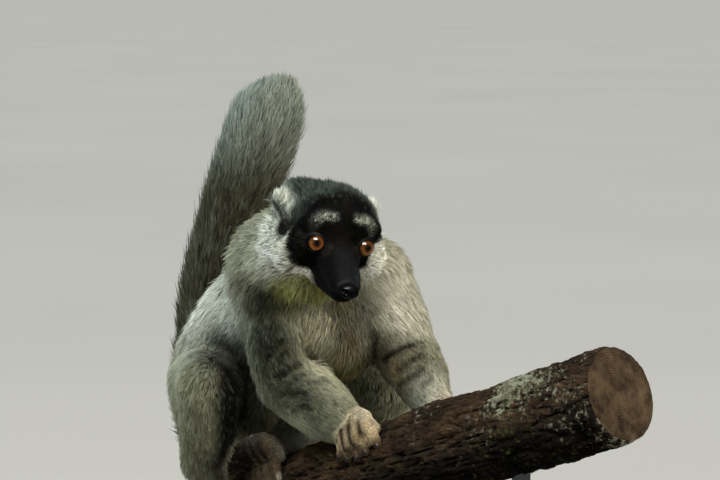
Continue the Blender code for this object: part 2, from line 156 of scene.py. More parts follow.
for name in ("stand_rod_front", "stand_rod_back"):
    low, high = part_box(name)
    radius = (high.x - low.x) / 2
    bm = bmesh.new()
    profile = [(0, 0), (radius + FOOT_FLARE, 0), (radius + FOOT_FLARE, FOOT_HEIGHT * 0.8),
               (radius + FOOT_FLARE * 0.9, FOOT_HEIGHT), (radius + 1 * MM, FOOT_HEIGHT),
               (radius, FOOT_HEIGHT + 1 * MM), (radius, high.z - low.z), (0, high.z - low.z)]
    verts = [bm.verts.new((out, 0, up)) for out, up in profile]
    edges = [bm.edges.new(pair) for pair in zip(verts, verts[1:])]
    bmesh.ops.spin(bm, geom=verts + edges, cent=(0, 0, 0), axis=(0, 0, 1), angle=math.tau,
                   steps=ROD_SIDES, use_merge=True, use_duplicate=False)
    bmesh.ops.remove_doubles(bm, verts=bm.verts, dist=1e-6)
    bmesh.ops.recalc_face_normals(bm, faces=bm.faces)
    foot = Vector(((low.x + high.x) / 2, (low.y + high.y) / 2, low.z))
    bmesh.ops.translate(bm, verts=bm.verts, vec=foot)
    rod = mesh_piece(name + "_turned", bm, steel)
    rod.data.set_sharp_from_angle(angle=math.radians(35))
    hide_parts(name)

# Perch: a cut length of a dead, weathered branch with its bark on. The bark is dark brown,
# cracked along the grain and flaking, with a crust of lichen and some moss. Its ends are sawn.
PERCH_MIDDLE = 20.0 * CM
PERCH_SLOPE = 0.37
PERCH_BEND = 1.1
PERCH_BEND_START = 2.0 * CM
PERCH_RADIUS = 3.6 * CM
PERCH_ENDS = (-28.5 * CM, 21.0 * CM)
PERCH_SWELLS = ((0.02, 45, 0.0), (0.015, 93, 1.0))
PERCH_ROUND = 180
PERCH_LONG = 340
PITH = Vector((3 * MM, -2 * MM))
BARK_HIGHEST = 3.2                # millimetres, as is the next
BARK_LEVEL = 1.2
END_WEAR = 4 * MM
SAW_STEPS = (0.03, 0.15, 0.25, 0.25, 0.2)
KNOTS = (  # along Y, degrees round the branch, radius, rise in millimetres
    (-0.155, 150, 13 * MM, 3.0), (-0.24, 215, 9 * MM, 2.2), (0.13, 60, 12 * MM, 3.0),
    (-0.115, 95, 8 * MM, 2.6), (0.02, 250, 11 * MM, 2.0), (-0.2, 20, 10 * MM, 2.4),
)


def perch_axis(y):
    """The point on the branch's axis at this distance along Y."""
    bend = PERCH_BEND * max(0.0, y - PERCH_BEND_START) ** 2
    return Vector((bend, y, PERCH_MIDDLE - PERCH_SLOPE * y))


def round_perch(y, degrees, lift):
    """The point this far off the bark at that angle: 0 is the left side, 90 is the top."""
    along = (perch_axis(y - 5 * MM) - perch_axis(y + 5 * MM)).normalized()
    side = (Vector((1, 0, 0)) - along * along.x).normalized()
    top = along.cross(side)
    top = top if top.z > 0 else -top
    out = side * math.cos(math.radians(degrees)) + top * math.sin(math.radians(degrees))
    return perch_axis(y) + out * (PERCH_RADIUS + lift)


def bark_relief(point, out, y, degrees):
    """Height of the bark in millimetres: plates parted by cracks along the grain, and knots."""
    warp = noise.noise(point * 30) * 0.5
    grain = Vector((out.x * 6 + warp, y * 17, out.z * 6 + warp))
    plate = abs(noise.noise(grain))
    fine = abs(noise.noise(grain * 2.7 + Vector((7, 3, 1))))
    crack = -2.4 * math.exp(-(plate / 0.05) ** 2) - 1.2 * math.exp(-(fine / 0.07) ** 2)
    flake = 0.9 * (noise.noise(point * 55) > 0.12) + 0.6 * (noise.noise(point * 80) > 0.25)
    height = 2.4 * plate + 0.6 * fine + crack + flake + 1.8 * noise.noise(point * 18)
    for place, turn, radius, rise in KNOTS:
        across = math.radians((degrees - turn + 180) % 360 - 180) * PERCH_RADIUS
        gap = math.hypot((y - place) * 0.7, across) / radius
        height += rise * math.exp(-gap ** 2) * (1 - 0.9 * math.exp(-(gap / 0.35) ** 2))
    return height + 0.35 * noise.noise(point * 260)


bm = bmesh.new()
bmesh.ops.create_cone(bm, cap_ends=True, cap_tris=False, segments=PERCH_ROUND, radius1=1.0,
                      radius2=1.0, depth=1.0)
long_edges = [edge for edge in bm.edges if abs(edge.verts[0].co.z - edge.verts[1].co.z) > 0.5]
bmesh.ops.subdivide_edges(bm, edges=long_edges, cuts=PERCH_LONG, use_grid_fill=True)
caps = [face for face in bm.faces if len(face.verts) > 4]
for face in caps:
    for step in SAW_STEPS:
        bmesh.ops.inset_region(bm, faces=[face], thickness=step)
bark_layer = bm.verts.layers.float.new("bark")
rise_layer = bm.verts.layers.float.new("relief")
sawn_layer = bm.verts.layers.float_vector.new("sawn")
underside_shade_layer = bm.verts.layers.float.new("damp")
for vert in bm.verts:
    turned = Vector((vert.co.x, vert.co.y))
    share = min(max(vert.co.z + 0.5, 0.0), 1.0)
    y = PERCH_ENDS[0] + (PERCH_ENDS[1] - PERCH_ENDS[0]) * share
    degrees = math.degrees(math.atan2(turned.y, turned.x))
    swell = 1.0 + sum(size * math.sin(y * pitch + phase) for size, pitch, phase in PERCH_SWELLS)
    centre = perch_axis(y)
    out = (round_perch(y, degrees, 0.0) - centre).normalized() * turned.length
    rise = 0.0
    on_bark = turned.length > 0.995
    if on_bark:
        rise = min(bark_relief(centre + out * PERCH_RADIUS, out, y, degrees), BARK_HIGHEST)
        near_end = min(share, 1 - share) * (PERCH_ENDS[1] - PERCH_ENDS[0])
        rise *= min(1.0, 0.3 + near_end / END_WEAR)
    vert[bark_layer] = float(on_bark)
    vert[rise_layer] = rise
    # painted shade: the bark is darkened towards its underside
    vert[underside_shade_layer] = min(max((0.2 - out.z) / 0.5, 0.0), 1.0) * vert[bark_layer]
    vert[sawn_layer] = (turned.x * PERCH_RADIUS + PITH.x, turned.y * PERCH_RADIUS + PITH.y, 0)
    vert.co = centre + out * (PERCH_RADIUS * swell)
    vert.co += out * (rise - BARK_LEVEL) * MM * vert[bark_layer]
bmesh.ops.recalc_face_normals(bm, faces=bm.faces)

# Dry bark is rough and matt, paler on its plates and nearly black in its cracks, partly its own
# colour and partly painted shade, and painted shade darkens its underside, where less light falls.
# The sawn ends show their rings under a film of dirt.
MIX_SHARE, MIX_UNDER, MIX_OVER, MIXED = 0, 6, 7, 2    # the Mix node's sockets for colours
MULTIPLIED = {"data_type": "RGBA", "blend_type": "MULTIPLY"}
GRAIN = 1.5 * MM
AGED_PATCH = 26.3 * MM
LICHEN_PATCH = 76.9 * MM
LICHEN_CRUMB = 5.26 * MM
MOSS_PATCH = 90.9 * MM
MOSS_TUFT = 3.85 * MM
RING = 2.0 * MM
SAWDUST_PATCH = 18.2 * MM
bark, tree, shader = new_material("weathered_bark", Roughness=0.9, Specular_IOR_Level=0.15)
place = add(tree, "TexCoord").outputs["Object"]
relief = add(tree, "Attribute", attribute_name="relief").outputs["Fac"]
is_bark = add(tree, "Attribute", attribute_name="bark").outputs["Fac"]
sawn = add(tree, "Attribute", attribute_name="sawn").outputs["Vector"]
grain_place = add(tree, "Mapping", {"Vector": place,
                                    "Scale": (1 / GRAIN, 0.12 / GRAIN, 0.7 / GRAIN),
                                    "Rotation": (math.atan(PERCH_SLOPE), 0, 0)})
grain = add(tree, "TexNoise", {"Vector": grain_place.outputs["Vector"], "Scale": 1.0,
                               "Detail": 7.0, "Roughness": 0.7})
patches = add(tree, "TexNoise", {"Vector": place, "Scale": 1 / AGED_PATCH, "Detail": 6.0,
                                 "Roughness": 0.65})
wood_tone = add(tree, "ValToRGB", {"Fac": grain.outputs["Fac"]},
                stops=((0.3, "#15100b"), (0.45, "#2e241a"), (0.58, "#483a2b"), (0.75, "#6f6150")))
age_tone = add(tree, "ValToRGB", {"Fac": patches.outputs["Fac"]},
               stops=((0.36, "#8c7f72"), (0.5, "#c4b5a0"), (0.64, "#f2e8d8")))
aged = add(tree, "Mix", {MIX_SHARE: 1.0, MIX_UNDER: wood_tone.outputs["Color"],
                         MIX_OVER: age_tone.outputs["Color"]}, **MULTIPLIED)
# partly painted shade: the relief darkens the cracks and lightens the raised plates
depth = add(tree, "MapRange", {"Value": relief, "From Min": -2.4, "From Max": 1.4,
                               "To Min": 0.2, "To Max": 1.25})
shaded = add(tree, "Mix", {MIX_SHARE: 1.0, MIX_UNDER: aged.outputs[MIXED],
                           MIX_OVER: depth.outputs["Result"]}, **MULTIPLIED)
underside = add(tree, "Attribute", attribute_name="damp").outputs["Fac"]
damp = add(tree, "MapRange", {"Value": underside, "To Min": 1.0, "To Max": 0.16})
underside_shaded = add(tree, "Mix", {MIX_SHARE: 1.0, MIX_UNDER: shaded.outputs[MIXED],
                           MIX_OVER: damp.outputs["Result"]}, **MULTIPLIED)
lichen_where = add(tree, "TexNoise", {"Vector": place, "Scale": 1 / LICHEN_PATCH, "Detail": 3.0})
lichen_crust = add(tree, "TexNoise", {"Vector": place, "Scale": 1 / LICHEN_CRUMB, "Detail": 5.0,
                                      "Roughness": 0.75})
lichen_sum = add(tree, "Math", {0: lichen_where.outputs["Fac"], 1: lichen_crust.outputs["Fac"]},
                 operation="ADD")
lichen_amount = add(tree, "MapRange", {"Value": lichen_sum.outputs["Value"], "From Min": 1.12,
                                       "From Max": 1.24, "To Max": 0.85})
lichened = add(tree, "Mix", {MIX_SHARE: lichen_amount.outputs["Result"],
                             MIX_UNDER: underside_shaded.outputs[MIXED],
                             MIX_OVER: (*linear("#8e8f78"), 1.0)}, data_type="RGBA")
moss_where = add(tree, "TexNoise", {"Vector": place, "Scale": 1 / MOSS_PATCH, "Detail": 3.0,
                                    "W": 3.0}, noise_dimensions="4D")
moss_tuft = add(tree, "TexNoise", {"Vector": place, "Scale": 1 / MOSS_TUFT, "Detail": 4.0,
                                   "W": 6.0}, noise_dimensions="4D")
moss_sum = add(tree, "Math", {0: moss_where.outputs["Fac"], 1: moss_tuft.outputs["Fac"]},
               operation="ADD")
moss_amount = add(tree, "MapRange", {"Value": moss_sum.outputs["Value"], "From Min": 1.13,
                                     "From Max": 1.26, "To Max": 0.85})
mossed = add(tree, "Mix", {MIX_SHARE: moss_amount.outputs["Result"],
                           MIX_UNDER: lichened.outputs[MIXED],
                           MIX_OVER: (*linear("#3a4119"), 1.0)}, data_type="RGBA")
rings = add(tree, "TexWave", {"Vector": sawn, "Scale": math.tau / (20 * RING), "Distortion": 7.0,
                              "Detail": 3.0, "Detail Scale": 0.35},
            wave_type="RINGS", rings_direction="Z")
ring_tone = add(tree, "ValToRGB", {"Fac": rings.outputs["Fac"]},
                stops=((0.0, "#54463a"), (0.5, "#61523f"), (1.0, "#6a5a47")))
dirt = add(tree, "TexNoise", {"Vector": sawn, "Scale": 1 / SAWDUST_PATCH, "Detail": 6.0,
                              "Roughness": 0.7})
dirt_tone = add(tree, "ValToRGB", {"Fac": dirt.outputs["Fac"]},
                stops=((0.38, "#6e665c"), (0.55, "#c9c2b6"), (0.7, "#f4f0e8")))
sawn_tone = add(tree, "Mix", {MIX_SHARE: 1.0, MIX_UNDER: ring_tone.outputs["Color"],
                              MIX_OVER: dirt_tone.outputs["Color"]}, **MULTIPLIED)
colour = add(tree, "Mix", {MIX_SHARE: is_bark, MIX_UNDER: sawn_tone.outputs[MIXED],
                           MIX_OVER: mossed.outputs[MIXED]}, data_type="RGBA")
bump = add(tree, "Bump", {"Height": grain.outputs["Fac"], "Strength": 0.8, "Distance": 1.0 * MM})
crusted = add(tree, "Bump", {"Height": lichen_crust.outputs["Fac"], "Strength": 0.5,
                             "Distance": 0.8 * MM, "Normal": bump.outputs["Normal"]})
wire(tree, shader, Base_Color=colour.outputs[MIXED], Normal=crusted.outputs["Normal"])
perch = mesh_piece("perch_bark", bm, bark)
perch.data.set_sharp_from_angle(angle=math.radians(60))
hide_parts("perch_branch")

# Skin: one continuous hide over the whole animal, set in under the coat by the depth of the hair.
# It is bare and black round the eyes and the mouth, and carries the coat's markings, with their
# painted light and shade, everywhere else.
FLESH = sorted(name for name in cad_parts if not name.startswith(("eye", "perch", "stand")))
VOXEL = 3.0 * MM
SEAM = 0.5 * MM                   # the sculpted parts grow by this, so that they fuse


def merged_copy(name):
    """The CAD part's shape as a bmesh whose triangles share their corners."""
    bm = bmesh.new()
    bm.from_mesh(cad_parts[name].data)
    bmesh.ops.remove_doubles(bm, verts=bm.verts, dist=1e-6)
    bm.normal_update()
    return bm


def middle(name):
    low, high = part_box(name)
    return (low + high) / 2


def points_of(name):
    return np.array([vert.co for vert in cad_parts[name].data.vertices])


def meeting(first, second):
    """The middle of the place where two parts of the body meet."""
    tree = KDTree(len(points_of(second)))
    for index, point in enumerate(points_of(second)):
        tree.insert(point, index)
    tree.balance()
    points = points_of(first)
    far = np.array([tree.find(point)[2] for point in points])
    return Vector(points[far < far.min() + 3 * MM].mean(axis=0))


eyes = {side: middle("eye_" + side) for side in ("right", "left")}
EYE_RADIUS = (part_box("eye_left")[1].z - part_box("eye_left")[0].z) / 2
NOSE_DROP = math.radians(25.3)    # the nose lies this far below the head's forward direction
EYE_SET_BACK = 0.5 * CM
between_eyes = (eyes["right"] + eyes["left"]) / 2
left = (eyes["left"] - eyes["right"]).normalized()
to_nose = middle("nose") - between_eyes
to_nose = (to_nose - left * to_nose.dot(left)).normalized()
forward = Matrix.Rotation(NOSE_DROP, 3, -left) @ to_nose
if forward.z < to_nose.z:
    forward = Matrix.Rotation(NOSE_DROP, 3, left) @ to_nose
up = forward.cross(left) if forward.cross(left).z > 0 else left.cross(forward)
head_origin = between_eyes + forward * EYE_SET_BACK
HEAD_AXES = np.array([left, forward, up])


def on_head(points):
    """Points in centimetres to the head's left, forward and up of the middle between its eyes."""
    return (points - np.array(head_origin)) @ HEAD_AXES.T / CM


def from_head(places):
    """The reverse: places in centimetres on the head to points in the room."""
    return np.array(places) * CM @ HEAD_AXES + np.array(head_origin)


joined = bmesh.new()
form_polygons = []
form_names = []
form_points = []
for name in FLESH + ["eye_left", "eye_right"]:
    bm = merged_copy(name)
    if name in FLESH:
        start = len(form_points)
        form_points += [vert.co.copy() for vert in bm.verts]
        for face in bm.faces:
            form_polygons.append([start + vert.index for vert in face.verts])
            form_names.append(FLESH.index(name))
    for vert in bm.verts:
        vert.co += vert.normal * SEAM
    part = bpy.data.meshes.new("part")
    bm.to_mesh(part)
    bm.free()
    if name != "nose":
        joined.from_mesh(part)
    bpy.data.meshes.remove(part)
form_tree = BVHTree.FromPolygons(form_points, form_polygons)
form_names = np.array(form_names)

mesh = bpy.data.meshes.new("skin")
joined.to_mesh(mesh)
joined.free()
skin = put("skin", mesh)
remesh = skin.modifiers.new("one_hide", "REMESH")
remesh.mode = "VOXEL"
remesh.voxel_size = VOXEL
graph = bpy.context.evaluated_depsgraph_get()
graph.update()
whole = bpy.data.meshes.new_from_object(skin.evaluated_get(graph))
skin.modifiers.clear()
skin.data = whole

# The face, the hands and the feet need finer skin than the trunk, the eyelids most of all
bm = bmesh.new()
bm.from_mesh(skin.data)
FACE_MIDDLE = Vector(from_head((0, 0.4, -0.6)))
MUZZLE_MIDDLE = Vector(from_head((0, 2.0, -1.8)))
paw_names = [name for name in FLESH if name.startswith(("hand", "foot"))]
refined = [(FACE_MIDDLE, 5.0 * CM), (MUZZLE_MIDDLE, 3.4 * CM)]
refined += [(middle(name), 3.0 * CM) for name in paw_names]
refined += [(eye, EYE_RADIUS + 6 * MM) for eye in eyes.values()]
refined += [(eye, EYE_RADIUS + 4 * MM) for eye in eyes.values()]
for centre, reach in refined:
    chosen = [edge for edge in bm.edges if (edge.verts[0].co - centre).length < reach
              and (edge.verts[1].co - centre).length < reach]
    bmesh.ops.subdivide_edges(bm, edges=chosen, cuts=1, use_grid_fill=True)
bmesh.ops.triangulate(bm, faces=[face for face in bm.faces if len(face.verts) > 4])
bm.to_mesh(skin.data)
bm.free()

count = len(skin.data.vertices)
edges = np.empty(len(skin.data.edges) * 2, np.int32)
skin.data.edges.foreach_get("vertices", edges)
edges = edges.reshape(-1, 2)
ends = np.concatenate([edges, edges[:, ::-1]])
neighbours = np.bincount(ends[:, 0], minlength=count)


def mean_beside(values):
    """The mean of each column at every point's neighbours."""
    sums = [np.bincount(ends[:, 0], weights=column[ends[:, 1]], minlength=count)
            for column in values.T]
    return np.stack(sums, axis=1) / neighbours[:, None]


def spread(values, rounds, share=0.5):
    """The values blurred over the skin, that many points wide."""
    for _ in range(rounds):
        values = values + (mean_beside(values) - values) * share
    return values


def rounded(points, rounds, amount):
    """Smooths the points without shrinking what they enclose: each step in has a step out."""
    for _ in range(rounds):
        points = points + (mean_beside(points) - points) * 0.5 * amount
        points = points - (mean_beside(points) - points) * 0.53 * amount
    return points


def skin_normals(points):
    """Which way the skin faces at each point, once it is moved there."""
    skin.data.vertices.foreach_set("co", points.astype(np.float32).ravel())
    skin.data.update()
    normals = np.empty(count * 3, np.float32)
    skin.data.vertices.foreach_get("normal", normals)
    return normals.reshape(-1, 3).astype(float)


points = np.empty(count * 3, np.float32)
skin.data.vertices.foreach_get("co", points)
points = points.reshape(-1, 3).astype(float)
part_of = form_names[[form_tree.find_nearest(point)[2] for point in points]]
kinds = [name.replace("_right", "").replace("_left", "").rstrip("_1234") for name in FLESH]
kind_of = np.array(kinds)[part_of]
fine = np.isin(kind_of, ["hand", "foot", "ear"]).astype(float)[:, None]
fine = spread(fine, 6)
points = rounded(points, 40, 1.0 - 0.75 * fine)

# How the coat grows on each part of the body: hair length and breadth in millimetres, locks
# on a square centimetre, and the angle at which they stand off the skin
GROWTH = {
    "neck": (13.0, 0.78, 84, 23), "chest": (12.5, 0.78, 84, 22), "loin": (12.5, 0.8, 76, 21),
    "rump": (13.0, 0.82, 76, 21), "tail": (20.0, 0.95, 60, 25), "upper_arm": (11.0, 0.74, 92, 21),
    "forearm": (8.5, 0.66, 110, 20), "hand": (2.8, 0.42, 170, 12), "thigh": (12.0, 0.8, 84, 21),
    "shin": (9.5, 0.72, 96, 20), "foot": (3.0, 0.42, 170, 12), "ear": (7.0, 0.45, 190, 30),
    "head": (8.0, 0.6, 130, 26), "nose": (0.8, 0.4, 0, 5),
}
tail_end = points_of("tail_4")
TAIL_TIP = Vector(tail_end[tail_end[:, 2] > tail_end[:, 2].max() - 4 * MM].mean(axis=0))
spine = [meeting("head", "neck"), meeting("neck", "chest"), meeting("chest", "loin"),
         meeting("loin", "rump"), meeting("rump", "tail_1"), meeting("tail_1", "tail_2"),
         meeting("tail_2", "tail_3"), meeting("tail_3", "tail_4"), TAIL_TIP]
bones = {"head": (head_origin, spine[0])}
TRUNK_AND_TAIL = ("neck", "chest", "loin", "rump", "tail_1", "tail_2", "tail_3", "tail_4")
for index, name in enumerate(TRUNK_AND_TAIL):
    bones[name] = (spine[index], spine[index + 1])
for side in ("right", "left"):
    for root, upper, lower, end in (("chest", "upper_arm", "forearm", "hand"),
                                    ("rump", "thigh", "shin", "foot")):
        first = meeting(root, f"{upper}_{side}")
        joint = meeting(f"{upper}_{side}", f"{lower}_{side}")
        last = meeting(f"{lower}_{side}", f"{end}_{side}")
        bones[f"{upper}_{side}"] = (first, joint)
        bones[f"{lower}_{side}"] = (joint, last)
        bones[f"{end}_{side}"] = (last, middle(f"{end}_{side}"))
    bones["ear_" + side] = (middle("head"), middle("ear_" + side))
bones["nose"] = (middle("nose"), head_origin)
lie_of = np.array([(bones[name][1] - bones[name][0]).normalized() for name in FLESH])
# Hair on the trunk hangs a little, and on the thigh it runs down and back, not to the knee
HANG = {"neck": (0, 0.1, -0.45), "chest": (0, 0, -0.5), "loin": (0, 0, -0.3), "rump": (0, 0, -0.3),
        "upper_arm": (0, 0, -0.2), "thigh": (0, 0.75, -1.1), "shin": (0, 0.2, -0.4)}
for index, kind in enumerate(kinds):
    lie_of[index] += np.array(HANG.get(kind, (0, 0, 0)))
    lie_of[index] /= np.linalg.norm(lie_of[index])


def ramp(values, start, end):
    """0 at start, 1 at end, eased between them."""
    share = np.clip((values - start) / (end - start), 0, 1)
    return share * share * (3 - 2 * share)


def near(places, centre, radii):
    """1 at the centre, falling to nearly 0 at one and a half radii."""
    return np.exp(-(((places - np.array(centre)) / np.array(radii)) ** 2).sum(axis=1))


def rough(points, size, shift=0.0):
    """Smooth random values from -1 to 1, whose lumps have that size in metres."""
    shifted = Vector((shift, shift, shift))
    return np.array([noise.noise(Vector(point) / size + shifted) for point in points])


def unit(vectors):
    """The vectors, each of length 1."""
    return vectors / np.maximum(np.linalg.norm(vectors, axis=1), 1e-9)[:, None]


def both_sides(places):
    """Places on the head with those on its right side laid over on its left."""
    return np.stack([abs(places[:, 0]), places[:, 1], places[:, 2]], 1)


def off_line(places, start, end):
    """How far along a straight line each place lies, from 0 to 1, and its step off the line."""
    start, end = np.array(start), np.array(end)
    run = end - start
    share = np.clip((places - start) @ run / (run @ run), 0, 1)
    return share, places - start - share[:, None] * run


CROWN_TUFT = ((-0.6, -4.9, 3.2), (1.3, 1.6, 1.0))    # its middle and reach on the head
is_kind = {kind: spread((kind_of == kind).astype(float)[:, None], 16)[:, 0] for kind in set(kinds)}
is_kind["head"] = is_kind["head"] + is_kind["nose"]
growth = spread(np.array([GROWTH[kind] for kind in kind_of]), 18)
lie = spread(lie_of[part_of], 50)
places = on_head(points)
beside = abs(places[:, 0])
backward = ramp(places[:, 1], -0.4, -2.8)
cheek = ramp(beside, 2.3, 3.6) * ramp(places[:, 2], 1.0, -0.8) * ramp(places[:, 1], 0.2, -1.6)
brow = near(both_sides(places), (1.6, -0.4, 2.1), (1.3, 1.2, 0.9))
throat = ramp(places[:, 2], -2.9, -3.9) * ramp(places[:, 1], 1.6, 0.0)
long_hair = np.clip(backward + cheek + throat, 0, 1)
head_growth = np.stack([1.8 + 7.2 * backward + 8.0 * cheek + 0.8 * brow + 8.0 * throat,
                        0.24 + 0.26 * long_hair, 480 - 320 * long_hair,
                        13 + 26 * backward - 5 * cheek + 26 * brow], axis=1)
on_face = np.clip(is_kind["head"] + 0.6 * is_kind["ear"], 0, 1)
growth += (head_growth - growth) * on_face[:, None]
growth[:, 0] += 2.2 * near(places, *CROWN_TUFT) * on_face
head_lie = unit(places - np.array((0, 4.3, -2.1)))
head_lie[:, 2] -= 0.75 * cheek + 0.25 * throat
head_lie[:, 1] -= 0.35 * cheek
head_lie = head_lie @ HEAD_AXES
lie += (head_lie - lie) * on_face[:, None]
tail_end_share = ramp(np.linalg.norm(points - np.array(TAIL_TIP), axis=1), 5.5 * CM, 1.0 * CM)
tail_end_share *= is_kind["tail"]
growth[:, 0] *= 1 - 0.42 * tail_end_share

# Ears: thin round cups, bare and dark inside, with long pale hair round the rim
EAR_PLACES = {"right": (-4.05, -5.0, 0.35), "left": (3.35, -5.3, 0.35)}
EAR_FACES = (0.78, 0.6, -0.05)    # the way the cup opens: left or right, forward and up
EAR_CUP = (1.15, 1.35)            # half its breadth and half its height
cup = np.zeros(count)
rim = np.zeros(count)
for side, sign in (("right", -1), ("left", 1)):
    face_way = np.array([EAR_FACES[0] * sign, EAR_FACES[1], EAR_FACES[2]])
    face_way /= np.linalg.norm(face_way)
    across = np.cross(face_way, (0, 0, 1))
    across /= np.linalg.norm(across)
    rise = np.cross(across, face_way)
    arm = places - np.array(EAR_PLACES[side]) - face_way * 0.25
    off = np.hypot(arm @ across / EAR_CUP[0], arm @ rise / EAR_CUP[1])
    ahead = ramp(arm @ face_way, -0.35, 0.15) * (np.linalg.norm(arm, axis=1) < 2.6)
    cup_here = ramp(off, 1.0, 0.45) * ahead
    rim_here = np.exp(-((off - 1.1) / 0.28) ** 2) * ahead
    cup = np.maximum(cup, cup_here)
    rim = np.maximum(rim, rim_here)
    spray = (arm @ across)[:, None] * across + (arm @ rise)[:, None] * rise + face_way * 0.35
    spray = unit(spray) + np.array([0, -0.5, 0.15])
    lie += (spray @ HEAD_AXES - lie) * rim_here[:, None] * 0.9
    places = places - face_way * (0.75 * cup_here)[:, None]
points = np.where((cup > 0)[:, None], from_head(places), points)
RIM_HAIR = 12.0                   # lengths in millimetres
growth[:, 0] += (RIM_HAIR - growth[:, 0]) * rim

# The slit of the ear lies low in the cup, nearly bare and darkened with painted shade, and the hair
# sprays away from it
EAR_SLIT = ((4.3, -2.2, 0.0), (5.25, -4.3, 1.05))
SLIT_WIDTH = 0.62
SLIT_HAIR = 3.0
EAR_HAIR = 11.0
EAR_HAIR_ANGLE = 34.0
_, slit_arm = off_line(both_sides(places), *EAR_SLIT)
slit_gap = np.linalg.norm(slit_arm, axis=1)
slit = np.exp(-(slit_gap / SLIT_WIDTH) ** 2)
spray = unit(slit_arm + np.array((0.1, -0.3, 0.5)))
spray[:, 0] *= np.sign(places[:, 0])
near_ear = ramp(slit_gap, 2.6, 1.2) * ramp(slit_arm[:, 2] - 0.5 * slit_arm[:, 1], 0.1, 0.5)
lie += (spray @ HEAD_AXES - lie) * near_ear[:, None] * 0.85
growth[:, 0] += (EAR_HAIR - growth[:, 0]) * near_ear * 0.9
growth[:, 3] += (EAR_HAIR_ANGLE - growth[:, 3]) * near_ear
before_slit = ramp(slit_gap, 1.7, 0.9) * (1 - near_ear)
growth[:, 0] += (SLIT_HAIR - growth[:, 0]) * np.clip(before_slit + slit, 0, 1)
growth[:, 2] *= (1 - 0.55 * cup) * (1 - 0.97 * slit)

# Hands and feet: slender fingers and toes with the gaps between them darkened as painted shade.
# Each digit is bent round the branch, and its length and its place beside the others are in
# centimetres.
PAWS = {
    "hand_right": (-5.4, 133.0, 1, ((1.6, 1.6), (0.7, 1.9), (-0.3, 2.0), (-1.2, 1.8), (-2.5, 1.6))),
    "hand_left": (-7.2, 32.0, -1, ((1.6, 2.4), (0.7, 2.9), (-0.3, 3.0), (-1.2, 2.7), (-2.5, 2.0))),
    "foot_right": (5.5, 124.0, 1, ((1.2, 2.6), (0.4, 3.2), (-0.4, 3.4), (-1.2, 3.0), (-2.2, 2.4))),
    "foot_left": (6.2, 52.0, -1, ((1.5, 2.6), (0.6, 3.2), (-0.4, 3.4), (-1.3, 3.0), (-2.5, 2.4))),
}
DIGIT_RADII = (5.0 * MM, 3.5 * MM)
DIGIT_STEPS = 24
GAP_WIDTH = 2.2 * MM
PAW_REACH = 4.5 * CM
KNUCKLE_SPACING = 0.72
KNUCKLE_ARCH = 2.5 * MM
CAD_TIP_RADIUS = 4.2 * MM
digit_lines = {}
digit_share = np.zeros(count)
gap_dark = np.zeros(count)
for paw, (knuckles, hang, over, digits) in PAWS.items():
    lines = []
    for offset, length in digits:
        swing = math.degrees(length * CM / (PERCH_RADIUS + CAD_TIP_RADIUS)) * over
        for step in range(DIGIT_STEPS + 1):
            share = step / DIGIT_STEPS
            radius = DIGIT_RADII[0] + (DIGIT_RADII[1] - DIGIT_RADII[0]) * share
            radius += 0.5 * MM * (math.exp(-((share - 0.4) / 0.1) ** 2)
                                  + math.exp(-((share - 0.74) / 0.09) ** 2))
            lift = radius * 0.9 + KNUCKLE_ARCH * math.sin(math.pi * min(1.0, 1.6 * share))
            y = (knuckles + offset * (KNUCKLE_SPACING + (1 - KNUCKLE_SPACING) * share)) * CM
            lines.append((*round_perch(y, hang + swing * share, lift), radius, share))
    lines = np.array(lines).reshape(len(digits), DIGIT_STEPS + 1, 5)
    digit_lines[paw] = lines
    chosen = np.nonzero(np.linalg.norm(points - np.array(middle(paw)), axis=1) < PAW_REACH)[0]
    chosen = chosen[part_of[chosen] == FLESH.index(paw)]
    for _ in range(3):
        arms = points[chosen][:, None, None] - lines[None, :, :, :3]
        far = np.linalg.norm(arms, axis=3)
        clear = far - lines[None, :, :, 3]
        nearest = clear.min(axis=2)
        digit = nearest.argmin(axis=1)
        step = clear[np.arange(len(chosen)), digit].argmin(axis=1)
        share = lines[digit, step, 4]
        arm = arms[np.arange(len(chosen)), digit, step]
        gap = np.clip(clear[np.arange(len(chosen)), digit, step], -3 * MM, 5 * MM)
        amount = ramp(share, 0.02, 0.22) * ramp(gap, 5 * MM, 3.5 * MM)
        points[chosen] -= unit(arm) * (gap * amount * 0.95)[:, None]
    second = np.sort(nearest, axis=1)
    digit_share[chosen] = share
    gap_dark[chosen] = np.exp(-(second[:, 1] - second[:, 0]) / GAP_WIDTH) * ramp(share, 0.0, 0.3)
    onward = np.gradient(lines[:, :, :3], axis=1)[digit, step]
    lie[chosen] += (unit(onward) - lie[chosen]) * ramp(share, 0.0, 0.2)[:, None]
growth[:, 0] *= 1 - 0.35 * ramp(digit_share, 0.1, 0.8)
growth[:, 2] *= 1 - 0.6 * gap_dark

